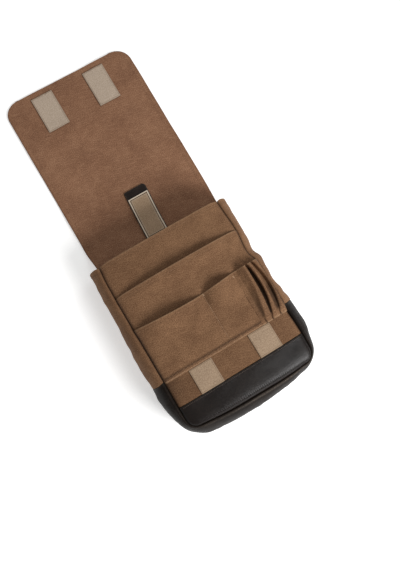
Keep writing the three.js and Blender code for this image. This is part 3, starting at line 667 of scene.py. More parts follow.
def lowerRest(x, y):
    # the front's face plus the middle pocket's cloth, which ends on a short ramp above the hem
    onPocket = np.minimum((y - pocketsEnd) / (lowerPocket["hemStart"] - pocketsEnd), 1)
    return frontFace(x, y) + gap + (gap + middlePocket["cloth"]) * onPocket


def lowerEdge(x):
    # the top edge dips by half a sine between the left seam and the sleeves
    p = lowerPocket
    across = np.clip((x + frontHalf) / (p["sleevesAt"] + frontHalf), 0, 1)
    return p["top"] - p["sag"] * np.sin(pi * across)


def bottomHem(y):
    # the turned-up edge along the bottom
    return 0.5 * smooth(y, -252.5, -254.5)


def lowerTop(x, y):
    # rest height plus the gape: a smooth step towards the mouth to the power 1.5, times half a sine across
    p = lowerPocket
    left = np.where(x < p["divider"], -frontHalf, p["divider"])
    right = np.where(x < p["divider"], p["divider"], p["sleevesAt"])
    lobe = np.sin(pi * np.clip((x - left) / (right - left), 0, 1))
    lift = p["gape"] * smooth(y, p["gapeFrom"], p["top"]) ** 1.5 * lobe
    edge = lowerEdge(x)
    hem = p["hemExtra"] * smooth(y, edge - p["hem"], edge - p["hem"] + 1.5) + bottomHem(y)
    z = lowerRest(x, y) - sideDip(x) * (x < 0) + lift + p["cloth"] + hem + creases(x, y, lowerFolds)
    z = z + pucker(x, edge - y, 7, 3.2, 8, 0.22) + pucker(x, -y, 258, 4.0, 4.1, 0.22)
    z = z - 0.5 * pulse(x, p["divider"], 2.5) * smooth(y, -149, -158) * (1 - smooth(y, -249, -256))
    return points(drawn(x, y), y, z)


def makeLowerPocket():
    # each row is an equal share of the way from the dipping top edge to the hem
    p = lowerPocket
    x = edgeLines(-frontHalf, p["right"], 2.0, p["rim"])[None, :]
    share = edgeLines(0, pocketTall, 2.2, p["rim"])[:, None] / pocketTall
    edge = lowerEdge(x)
    y = edge + (pocketsEnd - edge) * share
    middle = lowerTop(x, y)
    middle[..., 2] -= p["cloth"] / 2
    half = p["cloth"] / 2 * rims(share[:, 0], p["rim"] / pocketTall, x[0], p["rim"])
    # darker along the left seam, the hem's stitch line, the divider and across the hem's puckered band; the
    # pale lip and bottom edge are wear and a painted highlight
    seams = np.maximum(seamSoilAndShade(x) * (x < 0), 0.1 * pulse(y, edge - 10, 1.2))
    folds = np.maximum(0.12 * pulse(x, p["divider"], 1.6), 0.35 * pulse(y, -255.5, 3.0))
    marks = {"wearAndPaintedLight": np.maximum(np.exp(y - edge), 0.45 * np.exp((pocketsEnd - y) / 1.3)),
             "soilAndPaintedShade": np.maximum(seams, folds)}
    piece = layer("lowerPocketCanvas", middle, half, x, -y, marks)
    return finishPiece(piece, bodyCanvas, "canvas", "lower_pocket")


# Pen sleeves: one pleated sheet.
penSleeves = {"width": 58.0, "lap": 1.8, "lift": 15.0, "hollow": 0.45, "cloth": 1.5, "roundness": 1.2,
              "slits": ((86.9, 88.5), (101.3, 102.5), (120.4, 121.2)), "rim": 0.9}
# for each fold line, its share across at the open top, halfway and at the bottom, and its rise
penRows = np.array([
    [0, 0, 0, 0], [0.14, 0.14, 0.085, 0.1], [0.27, 0.25, 0.11, 0.5], [0.39, 0.34, 0.14, 0.94],
    [0.45, 0.45, 0.33, 0.96], [0.47, 0.47, 0.345, 0.03], [0.535, 0.605, 0.365, 0.02],
    [0.565, 0.63, 0.4, 0.95],
    [0.665, 0.675, 0.57, 0.97], [0.7, 0.72, 0.63, 0.4], [0.737, 0.86, 0.68, 0.02], [0.775, 0.925, 0.7, 0.86],
    [0.88, 0.968, 0.9, 0.88], [1, 1, 1, 0]])
# painted shade: how dark the fold lines are inside the first sleeve, on its flank and in the last valley
penShade = np.array([[0, 0, 0, 0, 0.1, 1, 1, 0.1, 0, 0, 0, 0, 0, 0],
                    [0, 0.45, 0.7, 0.05, 0, 0, 0, 0, 0, 0, 0, 0, 0, 0],
                    [0, 0, 0, 0, 0, 0, 0, 0, 0, 0.7, 1.0, 0.45, 0, 0]])


def penWeights(step=0.8):
    # columns step apart along the pleated line; each is a bell-weighted mean of the fold lines about it
    p = penSleeves
    lineX = p["width"] * penRows[:, 1]
    lineZ = 0.8 * p["lift"] * penRows[:, 3]
    run = np.concatenate([[0], np.cumsum(np.hypot(np.diff(lineX), np.diff(lineZ)))])
    at = edgeLines(0, run[-1], step, p["rim"])
    fine = np.linspace(0, run[-1], 700)
    knots = np.stack([np.interp(fine, run, row) for row in np.eye(len(penRows))], -1)
    bell = pulse(at[:, None], fine[None, :], p["roundness"])
    bell[0], bell[-1] = fine == 0, fine == run[-1]
    return at, (bell / bell.sum(1, keepdims=True)) @ knots


def penMiddle(down, weights):
    # folds run down on lerp(top, bottom) plus a bend of 4 d (1 - d), and keep less of their rise on the way
    p = penSleeves
    top, middle, bottom, rise = penRows.T
    d = down[:, None]
    share = top + (bottom - top) * d + 4 * (middle - (top + bottom) / 2) * d * (1 - d)
    lift = p["hollow"] + p["lift"] * rise * follow([0, 0.5, 1], [1, 0.8, 0.12], d)
    x = lowerPocket["sleevesAt"] + p["width"] * (share @ weights.T)
    lap = 1 - smooth(x, lowerPocket["sleevesAt"], lowerPocket["sleevesAt"] + 6)
    x = x - p["lap"] * lap
    y = lowerPocket["top"] - pocketTall * d + 0 * x
    lean = ripple(x, y, 23, ((30, 0.35), (14, 0.15))) * smooth(y, -146, -150) * (1 - smooth(y, -240, -252))
    z = lowerRest(x, y) + p["cloth"] / 2 + lift @ weights.T - sideDip(x, 1.6) * (x > 120)
    return points(drawn(x, y), y, z + lean + bottomHem(y) + 0.42 * lap)


def makePenSleeves():
    # the pleated sheet, with painted shade where its folds stand close and darker in three slits
    p = penSleeves
    at, weights = penWeights()
    down = edgeLines(0, pocketTall, 2.0, p["rim"]) / pocketTall
    middle = penMiddle(down, weights)
    half = p["cloth"] / 2 * rims(down, p["rim"] / pocketTall, at, p["rim"]) * (0.15 + 0.85 * smooth(at, 0, 6))
    x, y = middle[..., 0], middle[..., 1]
    hollow, flank, valley = penShade @ weights.T
    along = down[:, None]
    dark = hollow * smooth(along, 0.0, 0.1) + flank * smooth(along, 0.3, 0.75)
    dark = dark + valley * (0.05 + 0.95 * smooth(along, 0.2, 0.65))
    dark = dark * (1 - smooth(along, 0.86, 0.93))
    slant = (-254 - y) / 9.5
    slits = sum(pulse(x, start + (end - start) * slant, 0.8) for start, end in p["slits"])
    seams = np.maximum(seamSoilAndShade(x), 0.9 * dark)
    # pale top and bottom edges: wear and a painted highlight
    marks = {"wearAndPaintedLight": np.maximum(np.exp(y - lowerPocket["top"]), np.exp((pocketsEnd - y) / 1.6)),
             "soilAndPaintedShade": np.maximum(seams, 0.9 * slits * smooth(y, -252, -255))}
    piece = layer("penSleevesCanvas", middle, half, at + lowerPocket["sleevesAt"], -y, marks)
    return finishPiece(piece, bodyCanvas, "canvas", "pen_sleeves")


# Side and base walls.
gusset = {"raise": {-1: 3.2, 1: 13.5}, "backFrom": 17.0, "tuck": 3.5, "ridge": 1.0, "section": 112.0,
          "slump": 3.5, "cloth": 2.4, "dip": 4.2, "waves": 0.9, "seamIn": 0.3, "step": 2.8, "rim": 1.5}
sideSwell = {
    -1: ([0, 0.4, 0.75, 1], [17.48, 19.78, 23.46, 22.54]),
    1: ([0, 0.26, 0.38, 0.46, 0.53, 0.6, 0.68, 0.76, 0.91, 1],
        [15.4, 14.9, 14.8, 10.0, 16.9, 17.8, 16.3, 14.8, 19.6, 22.54])}
rightFolds = ((-226, 6, -262, 26, 4.5, 2.0), (-244, 2, -263, 12, 3.5, -1.6),
              (-80, 4, -98, 34, 7, 1.2), (-150, 6, -120, 30, 8, 1.0))
baseSwell = ([0, 0.18, 0.32, 0.435, 0.522, 0.7, 1], [22.54, 23.0, 16.1, 8.28, 8.96, 13.02, 14.0])
# half the front seam of the base: lengths of its straight side, its corner and half its bottom, and its shape
baseFront = {"side": 82.0, "turn": 26.35 * pi / 2, "bottom": 112.3, "flat": 112.0, "corner": 25.7, "bow": 8.0}
baseBack = {"flat": 100.0, "corner": 50.0, "cornerAt": -342.0}
baseHalf = baseFront["side"] + baseFront["turn"] + baseFront["bottom"]


def gussetPoint(front, back, outward, swell, down, inset):
    # half an ellipse from the front seam to the back seam: share (1 - sin a) / 2, reach swell cos a,
    # less a tuck at its end
    angle = pi / 2 - pi * down / gusset["section"]
    share = (1 - np.sin(angle)) / 2
    tuck = gusset["tuck"] * smooth(down, gusset["section"] - 16, gusset["section"])
    reach = (swell - inset) * np.cos(angle) - tuck
    high = seamHeight(front[1]) + gusset["ridge"] - inset
    low = gusset["backFrom"] + inset
    x = front[0] + (back[0] - front[0]) * share + outward[0] * reach
    y = front[1] + (back[1] - front[1]) * share + outward[1] * reach
    return points(x, y, high + (low - high) * share - gusset["dip"] * np.exp(-down / 2.4))


def topEdge(side, down):
    # how far the leather's top edge is raised; on the left it slants down from the seam
    slant = 2.0 - 3.6 * np.clip(down / 22, 0, 1)
    return gusset["raise"][side] + (slant if side < 0 else 0 * down)


def sidePoint(side, y, down, inset=0.0):
    # the side wall at a place down the bag and a length down its section
    waves = gusset["waves"]
    swell = follow(*sideSwell[side], y / pocketsEnd) - side * gusset["slump"]
    fade = np.sin(pi * np.clip(down / gusset["section"], 0, 1))
    swell = swell + ripple(y, down, 31 + side, ((70, waves), (30, 0.5 * waves))) * fade
    foldsFrom = -205 if side > 0 else -225
    folds = np.sin((y + 0.25 * down) / 7.0) * smooth(y, foldsFrom, foldsFrom - 30)
    swell = swell + 0.5 * waves * fade * folds
    hem = 0.5 * (1 - smooth(-y, 9, 10.5))
    shift = seamShift(side, y)
    swell = swell + side * shift / 2
    if side > 0:
        swell = swell + creases(y, down, rightFolds)
    frontX = side * (frontHalf - gusset["seamIn"]) - shift
    point = gussetPoint((frontX, y), (side * backHalf, y), (side, 0), swell + hem, down, inset)
    sag = 3.4 * np.exp(-down / 14) * np.exp(y / 18)
    point[..., 1] += topEdge(side, down) * smooth(y, -190, pocketsEnd) - sag
    return point


def basePoint(run, down, inset=0.0):
    # run is counted from the middle of the bottom, negative to the left, to the leather's top edge
    f, b = baseFront, baseBack
    sign = np.where(run < 0, -1.0, 1.0)
    s = np.clip(baseHalf - np.abs(run), 0, baseHalf)
    share = s / baseHalf
    turn = np.clip((s - f["side"]) / f["turn"], 0, 1) * pi / 2
    left = np.clip(1 - (s - f["side"] - f["turn"]) / f["bottom"], 0, 1)
    onSide, onCorner = s < f["side"], s < f["side"] + f["turn"]
    pick = lambda first, second, third: np.where(onSide, first, np.where(onCorner, second, third))
    frontX = pick(f["flat"] + f["corner"], f["flat"] + f["corner"] * np.cos(turn), f["flat"] * left)
    frontY = pick(pocketsEnd - s, body["cornerAt"] - f["corner"] * np.sin(turn),
                  body["cornerAt"] - f["corner"] - f["bow"] * (1 - left**2))
    backX = pick(backHalf, b["flat"] + b["corner"] * np.cos(turn), b["flat"] * left)
    backY = pick(pocketsEnd - s * (pocketsEnd - b["cornerAt"]) / f["side"],
                 b["cornerAt"] - b["corner"] * np.sin(turn), b["cornerAt"] - b["corner"])
    outX, outY = pick(1.0, np.cos(turn), 0.0), pick(0.0, -np.sin(turn), -1.0)
    seamX, seamY = drawn(sign * frontX, frontY), frontY + raised(sign * frontX, frontY)
    moved = (seamX - sign * frontX) * sign * outX + (seamY - frontY) * outY
    fade = np.sin(pi * np.clip(down / gusset["section"], 0, 1)) * smooth(share, 0, 0.06)
    swell = follow(*baseSwell, share) - gusset["slump"] * (1 - share) * sign
    swell = swell + 0.8 * smooth(share, 0, 0.3) - moved / 2
    swell = swell + ripple(run, down, 41, ((60, 0.7 * gusset["waves"]), (24, 0.3 * gusset["waves"]))) * fade
    point = gussetPoint((seamX, seamY), (sign * backX, backY), (sign * outX, outY), swell, down, inset)
    rise = np.where(run < 0, topEdge(-1, down), topEdge(1, down))
    point[..., 1] += rise * (1 - np.clip(s / f["side"], 0, 1)) ** 2
    groove = 3.0 * np.exp(-down / 3) * smooth(share, 0, 0.05)
    roll = 1.6 * pulse(down, 8.6, 3.2) * smooth(share, 0.02, 0.1)
    point[..., 2] += roll - groove + 0.25 * np.sin(run / 1.9) * pulse(down, 4, 2.5)
    return point


def makeSide(side, name, node):
    # a grid of places down the bag and lengths down the section, wound to face outwards
    p = gusset
    down = edgeLines(0, p["section"], p["step"], p["rim"])[:, None]
    y = edgeLines(0, pocketsEnd + gap, p["step"], p["rim"])[None, :]
    if side > 0:
        y = y[:, ::-1]
    middle = sidePoint(side, y, down, p["cloth"] / 2)
    half = p["cloth"] / 2 * rims(down[:, 0], p["rim"], y[0], p["rim"])
    # darker along both seams as dark wax and painted seam shade, in a wider band on the right beside the pen
    # sleeves
    soilAndShadeWidth = 3.0 + (3.5 * pulse(y, -195, 45) if side > 0 else 0)
    seams = np.maximum(pulse(down, 0, soilAndShadeWidth), 0.8 * pulse(down, p["section"], 2.5))
    marks = {"wearAndPaintedLight": np.exp(y / 1.1) * np.ones_like(down),
             "soilAndPaintedShade": np.maximum(seams, 0.35 * pulse(y, -11, 1.5))}
    return finishPiece(layer(name, middle, half, y + 500, down, marks), bodyCanvas, "canvas", node)


def makeBaseWall():
    # a grid from the left leather edge round the bottom to the right one, rubbed along its ridge, where the
    # pale mark also paints a highlight, and darker in the seam groove and towards the back seam as painted
    # shade
    p = gusset
    down = edgeLines(0, p["section"], p["step"], p["rim"])[:, None]
    run = edgeLines(-baseHalf, baseHalf, 2.2, p["rim"])[None, :]
    middle = basePoint(run, down, p["cloth"] / 2)
    half = p["cloth"] / 2 * rims(down[:, 0], p["rim"], run[0], p["rim"])
    toEdge = baseHalf - np.abs(run)
    # painted highlight on top of rubbed wear along the ridge
    ridge = (0.45 + 0.55 * smooth(run, -90, 30)) * pulse(down, 9.5, 2.8) * smooth(toEdge, 90, 140)
    marks = {"wearAndPaintedLight": np.maximum(ridge, 0.6 * np.exp(-toEdge)),
             "soilAndPaintedShade": np.maximum(pulse(down, 0, 2.6), 0.25 * smooth(down, 14, 44)) * np.ones_like(run)}
    wall = layer("baseWallLeather", middle, half, run, down, marks)
    return finishPiece(wall, gussetLeather, "leather", "base_wall")


# Leather front.
leatherFront = {"thick": 2.4, "step": 1.4, "halfFlat": 112.0, "bow": 8.0, "rim": 1.2}


def leatherPoint(share, level):
    # half width 112 + root(26^2 - past^2), bow 8 (1 - (x / 112)^2) down^2, and the puff fades by down^10
    p = leatherFront
    past = np.clip(body["cornerAt"] - level, 0, body["corner"])
    halfWide = p["halfFlat"] + np.sqrt(np.maximum(body["corner"] ** 2 - past**2, 0))
    x = share * halfWide
    down = (leatherTop - level) / (leatherTop - bottomAt)
    y = level - p["bow"] * np.maximum(0, 1 - (x / p["halfFlat"]) ** 2) * down**2
    toSide = (1 - np.abs(share)) * halfWide
    toEnd = np.maximum(level - bottomAt, 0) + 0.0 * x
    groove = 5.0 * np.exp(-np.minimum(toSide, toEnd) / 1.5)
    face = seamHeight(level) + frontPuff(share) * (1 - down**10) + p["step"] - groove
    face = face + slowWaves(x, level) * (1 - smooth(down, 0.05, 0.6))
    gathers = 0.28 * np.sin(x / 0.68 + 0.8 * np.sin(x / 9)) * pulse(toEnd, 7.5, 3.5)
    face = face + gathers * smooth(np.abs(x), 132, 112)
    face = face - 2.0 * (1 - smooth(toEnd, -1, 9)) * (0.3 + 0.7 * smooth(x, -90, 10))
    return points(drawn(x, y), y + raised(x, level), face)


def leatherLevels():
    # levels down a straight line and then a quarter circle, with the length run along it
    straightRun = leatherTop - body["cornerAt"]
    run = edgeLines(0, straightRun + body["corner"] * pi / 2, 1.8, leatherFront["rim"])
    turn = np.clip(run - straightRun, 0, None) / body["corner"]
    levels = np.where(run < straightRun, leatherTop - run, body["cornerAt"] - body["corner"] * np.sin(turn))
    return levels, run


def makeLeatherFront():
    # a grid of shares across and levels down, its middle half the leather below the face
    p = leatherFront
    level, run = leatherLevels()
    across = edgeLines(-frontHalf, frontHalf, 0.85, p["rim"])
    share = across[None, :] / frontHalf
    middle = leatherPoint(share, level[:, None])
    middle[..., 2] -= p["thick"] / 2
    half = p["thick"] / 2 * rims(run, p["rim"], across, p["rim"])
    x, down, toEnd = middle[..., 0], run[:, None], (run[-1] - run)[:, None]
    off = np.minimum((1 - np.abs(share)) * frontHalf, toEnd)
    # pale rubbed top edge; a painted highlight band along the roll above the bottom seam, on top of rub;
    # painted shade in the seam grooves and over the right of the face above the roll
    topRub = 0.55 * np.exp(-down / 1.2) * np.ones_like(share)
    marks = {"wearAndPaintedLight": np.maximum(topRub, 0.65 * pulse(toEnd, 5.4, 2.8) * smooth(x, -50, 20)),
             "soilAndPaintedShade": np.maximum(pulse(off, 0, 2.6), 0.25 * smooth(x, -10, 60) * smooth(toEnd, 12, 18))}
    piece = layer("frontLeather", middle, half, x, down, marks)
    return finishPiece(piece, frontLeather, "leather", "base_panel")


# Patches of hook and loop tape.
patches = {"thick": 1.5, "border": 3.0, "rim": 0.8}


def patchMesh(name, surface, xs, ys, material, node, borderStrength=0.5):
    # a flat layer of tape on a surface: its top stands a gap and the tape's thickness above it
    p = patches
    x = edgeLines(xs[0], xs[1], 1.6, p["rim"])[None, :]
    y = edgeLines(ys[0], ys[1], 1.6, p["rim"])[:, None]
    middle = surface(x, y)
    middle[..., 2] += gap + p["thick"] / 2 + ripple(x, y, 61, ((22, 0.12), (9, 0.06)))
    half = p["thick"] / 2 * rims(y[:, 0], p["rim"], x[0], p["rim"])
    off = np.minimum(np.minimum(x - x[0, 0], x[0, -1] - x), np.minimum(y[0, 0] - y, y - y[-1, 0]))
    marks = {"border": borderStrength * (1 - smooth(off, p["border"] - 0.6, p["border"] + 0.4)),
             "soilAndPaintedShade": 0.8 * pulse(off, 0, 0.5)}
    piece = layer(name, middle, half, x + 3 * xs[0], -y, marks)
    return finishPiece(piece, material, "tape", node)


def onFront(x, y):
    # the front's face less the dip of its side seams
    return points(x, y, frontFace(x, y) - sideDip(x))


# Flap.
flap = {"length": 420.0, "corner": 34.0, "cloth": 3.0, "seam": 0.8, "fall": 65.0, "fallHeight": 13.5,
        "waist": 7.0, "spread": 2.0, "waves": 1.5, "rim": 1.5}


def flapUnder(y):
    # falls from the back panel's edge to the surface on a smooth step
    return flap["fallHeight"] * (1 - smooth(y, 0, flap["fall"]))


def flapSoft(x, y):
    # slow waves and curling sides, only upwards, which start once the flap has left the mouth, and fine waves
    wave = ripple(x, y, 71, ((150, 0.5), (80, 0.25))) + 0.75
    curl = 0.96 * smooth(np.abs(x), 128, 152) * (0.5 + 0.5 * np.sin(y / 46 + 0.6 * np.sign(x)))
    slow = flap["waves"] * np.maximum(wave + curl, 0) * smooth(y, 30, 110)
    return slow + ripple(x, y, 73, ((26, 0.09),)) * smooth(y, 30, 80)


def flapHalf(y):
    # half width: the waist at the mouth spreads over the fall, and the far corners are quarter circles
    p = flap
    narrower = p["waist"] - (p["waist"] + p["spread"]) * smooth(y, 0, p["fall"])
    past = np.maximum(y - (p["length"] - p["corner"]), 0)
    return backHalf - narrower / 2 - p["corner"] + np.sqrt(np.maximum(p["corner"] ** 2 - past**2, 0))


def flapTop(x, y):
    # the fall, plus the cloth, plus the waves
    return points(x, y, flapUnder(y) + flap["cloth"] + flapSoft(x, y))


def makeFlap():
    # rows follow the far corners' quarter circle and then run straight to the mouth
    p = flap
    cornerAt, arc = p["length"] - p["corner"], p["corner"] * pi / 2
    run = edgeLines(0, arc + cornerAt - gap, 3.2, p["rim"])
    turn = np.clip(run, 0, arc) / p["corner"]
    y = np.where(run < arc, cornerAt + p["corner"] * np.cos(turn), cornerAt - (run - arc))[:, None]
    across = edgeLines(-backHalf, backHalf, 3.2, p["rim"])
    share = across[None, :] / backHalf
    x = share * flapHalf(y) - 1.5 * np.clip(-share, 0, 1) ** 4 * pulse(y, 40, 32)
    middle = flapTop(x, y)
    toSide, toEnd = (1 - np.abs(share)) * backHalf, run[:, None]
    off = np.minimum(toSide, toEnd)
    hem = 0.3 * (1 - smooth(off, 10, 12)) + 0.18 * np.sin(toEnd / 1.5) * pulse(toSide, 6, 3)
    thick = p["cloth"] - p["seam"]
    middle[..., 2] += hem - 0.6 - thick / 2
    half = thick / 2 * rims(run, p["rim"], across, p["rim"])
    # the edges in the flap's dark edge colour paint the shade along its turned edge; a faint darker line runs
    # along the hem
    marks = {"wearAndPaintedLight": np.exp(-off / 1.6), "soilAndPaintedShade": 0.12 * pulse(off, 11.5, 1.2)}
    piece = finishPiece(layer("flapCloth", middle, half, x, -y, marks), flapCanvas, "canvas", "flap")
    return piece


# Strap that holds a laptop in, laid out over the flap.
tab = {"half": 25.5, "length": 126.0, "root": -44.0, "leather": 2.5, "lean": 8.0, "corners": (3.5, 8.5),
       "patch": (107.5, 10.0), "patchHalf": 23.75, "rim": 1.2}


def tabTop(x, y):
    # the flap's face and a gap, or the back panel's face inside the mouth
    onFlap = flapUnder(y) + flap["cloth"] + gap * (1 - smooth(y, 0, flap["fall"] / 2)) + flapSoft(x, y)
    return points(x, y, np.where(y > 0, onFlap, body["backFace"]) + gap + tab["leather"])


def tabMiddle(y):
    # the tab's middle line leans to the right in proportion to y
    return tab["lean"] * np.maximum(y, 0) / tab["length"]


def makeTab():
    # straight sides and a far end with two quarter circles of different size
    p = tab
    corner = p["corners"][1]
    away = edgeLines(0, p["length"] - p["root"], 2.2, p["rim"])
    tip = corner * (1 - np.cos(np.linspace(0, pi / 2, 9)))
    y = (p["length"] - np.concatenate([tip, away[away > corner + 1]]))[:, None]
    past = [np.maximum(y - (p["length"] - r), 0) for r in p["corners"]]
    left, right = (p["half"] - r + np.sqrt(np.maximum(r**2 - q**2, 0)) for r, q in zip(p["corners"], past))
    across = edgeLines(-p["half"], p["half"], 1.8, p["rim"])
    share = across[None, :] / p["half"]
    x = tabMiddle(y) + share * np.where(share < 0, left, right)
    middle = tabTop(x, y)
    middle[..., 2] -= p["leather"] / 2
    half = p["leather"] / 2 * rims(y[:, 0], p["rim"], across, p["rim"])
    off = np.minimum((1 - np.abs(share)) * p["half"], p["length"] - y)
    marks = {"wearAndPaintedLight": 0.9 * np.exp(-off), "soilAndPaintedShade": 0 * x}
    strap = layer("tabLeatherStrap", middle, half, x, -y, marks)
    return finishPiece(strap, tabLeather, "leather", "laptop_tab")


def makeTabPatch():
    # a sheet of tape on the tab, with a woven border and a painted shadow line along its row of stitches
    p, rim = tab, patches["rim"]
    y = edgeLines(p["patch"][0], p["patch"][1], 0.8, rim)[:, None]
    across = edgeLines(-p["patchHalf"], p["patchHalf"], 0.8, rim)[None, :]
    x = tabMiddle(y) + across
    middle = tabTop(x, y)
    middle[..., 2] += gap + patches["thick"] / 2 + ripple(x, y, 63, ((20, 0.12),))
    half = patches["thick"] / 2 * rims(y[:, 0], rim, across[0], rim)
    off = np.minimum(p["patchHalf"] - np.abs(across), np.minimum(p["patch"][0] - y, y - p["patch"][1]))
    marks = {"border": np.maximum(1 - smooth(off, 2.0, 2.9), 0.35 * pulse(off, 5.8, 0.7)),
             "soilAndPaintedShade": np.maximum(0.6 * pulse(off, 0, 0.4), 0.45 * pulse(off, 4.0, 0.8))}
    return finishPiece(layer("tabPatchTape", middle, half, x, -y, marks), tabTape, "tape", "tab_patch")


# Back panel, shoulder straps and handle.
backPanel = {"half": 152.0, "corner": 52.0, "cornerAt": -342.0, "channel": 9.0, "channelDepth": 1.1,
             "rim": 2.6}


def makeBackPanel():
    # a flat pad with a sewn channel near its edge: half its thickness less the channel's bell
    p = backPanel
    flatHalf = body["backPad"] / 2
    straightRun, arc = -p["cornerAt"], p["corner"] * pi / 2
    run = edgeLines(0, straightRun + arc, 3.4, p["rim"])
    turn = np.clip(run - straightRun, 0, arc) / p["corner"]
    y = np.where(run < straightRun, -run, p["cornerAt"] - p["corner"] * np.sin(turn))[:, None]
    halfWide = (p["half"] - p["corner"] * (1 - np.cos(turn)))[:, None]
    across = edgeLines(-p["half"], p["half"], 3.4, p["rim"])
    share = across[None, :] / p["half"]
    x = share * halfWide
    middle = points(x, y, body["backFace"] - flatHalf)
    off = np.minimum((1 - np.abs(share)) * halfWide, np.minimum(run, run[-1] - run)[:, None])
    thick = flatHalf - 0.15 - p["channelDepth"] * pulse(off, p["channel"], 2.4)
    thick = np.minimum(thick + ripple(x, y, 81, ((35, 0.1),)), flatHalf - 0.02)
    marks = {"wearAndPaintedLight": 0 * x, "soilAndPaintedShade": 0.5 * pulse(off, p["channel"], 1.2)}
    pad = layer("backPanelPad", middle, thick * rims(run, p["rim"], across, p["rim"]), x, -y, marks)
    return finishPiece(pad, strapCanvas, "canvas", "back_panel")


shoulderStrap = {"pad": 10.5, "top": 50.0, "end": 288.0, "topAcross": 46.0, "endAcross": 84.0, "wide": 60.0,
                 "endWide": 38.0, "out": [0, 0.1, 0.28, 0.5, 0.73, 1], "narrow": [0, 0, 0.08, 0.32, 0.7, 1],
                 "channel": 6.5, "rim": 3.5, "endRim": 0.012}


def makeStrap(side, name, node):
    # a flat pad on a curved path, with a sewn channel near each edge
    p = shoulderStrap
    down = edgeLines(0, 1, 0.012, p["endRim"])
    places = np.linspace(0, 1, 6)
    pathX = side * (p["topAcross"] + (p["endAcross"] - p["topAcross"]) * follow(places, p["out"], down))
    pathY = -(p["top"] + (p["end"] - p["top"]) * down)
    halfWide = (p["wide"] + (p["endWide"] - p["wide"]) * follow(places, p["narrow"], down))[:, None] / 2
    along = alongPath(pathX, pathY)
    across = edgeLines(-p["wide"] / 2, p["wide"] / 2, 2.0, p["rim"])
    share = across[None, :] * 2 / p["wide"]
    x = pathX[:, None] - along[:, 1:2] * share * halfWide
    y = pathY[:, None] + along[:, 0:1] * share * halfWide
    off = (1 - np.abs(share)) * halfWide
    uneven = 0.985 + ripple(x, y, 83 + side, ((30, 0.012),))
    thick = p["pad"] / 2 * (1 - 0.28 * pulse(off, p["channel"], 2.0)) * uneven
    half = np.minimum(thick, p["pad"] / 2 - 0.02) * rims(down, p["endRim"], across, p["rim"])
    marks = {"wearAndPaintedLight": 0 * x, "soilAndPaintedShade": 0.5 * pulse(off, p["channel"], 1.0)}
    pad = layer(name, points(x, y, p["pad"] / 2), half, x, -y, marks)
    return finishPiece(pad, strapCanvas, "canvas", node)


handle = {"reach": 50.0, "top": 13.0, "drop": 23.0, "wide": 15.0, "thick": 9.0, "middle": 6.0}


def makeHandle():
    # a rolled handle: an ellipse carried along the arc y = -top - drop (1 - s^2)
    p = handle
    share = edgeLines(-1, 1, 0.03, 0.02)
    pathX, pathY = p["reach"] * share, -p["top"] - p["drop"] * (1 - share**2)
    along = alongPath(pathX, pathY)
    across = np.sin(np.linspace(-pi / 2, pi / 2, 15))[:, None]
    x = pathX[None, :] + along[:, 1] * across * p["wide"] / 2
    y = pathY[None, :] - along[:, 0] * across * p["wide"] / 2
    half = p["thick"] / 2 * np.sqrt(np.clip(1 - across**2, 0, 1)) * rimFactor(share, 0.05)
    marks = {"wearAndPaintedLight": 0.3 * np.ones_like(x), "soilAndPaintedShade": 0 * x}
    roll = layer("handleLeather", points(x, y, p["middle"]), half, x, -y, marks)
    return finishPiece(roll, tabLeather, "leather", "grab_handle")


makeFrontWall()
makeMiddlePocket()
makeLowerPocket()
makePenSleeves()
print("front and pockets made")
makeSide(-1, "leftSideCanvas", "left_side")
makeSide(1, "rightSideCanvas", "right_side")
makeBaseWall()
makeLeatherFront()
print("walls and leather made")
frontPatchY = (pocketsEnd - gap, leatherTop + gap)
flapPatchY = (406, 322)
patchMesh("loopPatchLeft", onFront, (-91, -41), frontPatchY, loopTape, "loop_patch_left")
patchMesh("loopPatchRight", onFront, (41, 91), frontPatchY, loopTape, "loop_patch_right")
makeFlap()
patchMesh("hookPatchLeft", flapTop, (-88, -38), flapPatchY, hookTape, "hook_patch_left", 0.3)
patchMesh("hookPatchRight", flapTop, (38, 88), flapPatchY, hookTape, "hook_patch_right", 0.3)
makeTab()
makeTabPatch()
print("flap, patches and tab made")
makeBackPanel()
makeStrap(-1, "shoulderPadLeft", "shoulder_strap_left")
makeStrap(1, "shoulderPadRight", "shoulder_strap_right")
makeHandle()
hardwareLooks = {"strap_keeper": webbingCloth, "strap_webbing": webbingCloth, "ladder_lock": gunmetal}
for title, material in hardwareLooks.items():
    for end in ("_left", "_right"):
        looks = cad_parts[title + end].data.materials
        looks.clear()
        looks.append(material)
print("back, straps and hardware made")


# Stitches: small threads laid along lines on the surfaces.

def threadShape(length, radius):
    # three rings of five about an arch, closed to a point at both ends
    t = np.array([-0.72, 0.0, 0.72])
    ringSize = np.array([0.75, 1.0, 0.75]) * radius
    angle = np.arange(5) * 2 * pi / 5
    along = np.repeat(t * length / 2, 5)
    side = (ringSize[:, None] * np.cos(angle)).ravel()
    up = (ringSize[:, None] * np.sin(angle) + (radius * (0.55 - 0.5 * t**2))[:, None]).ravel()
    tips = ([-length / 2, length / 2], [0, 0], [-0.3 * radius, -0.3 * radius])
    shape = np.stack([np.r_[values, tip] for values, tip in zip((along, side, up), tips)], -1)
    k = np.arange(5)
    n = (k + 1) % 5
    quads = np.concatenate([np.stack([r + k, r + n, r + 5 + n, r + 5 + k], -1) for r in (0, 5)])
    ends = np.concatenate([np.stack([n, k, 0 * k + 15], -1), np.stack([10 + k, 10 + n, 0 * k + 16], -1)])
    return shape, quads, ends


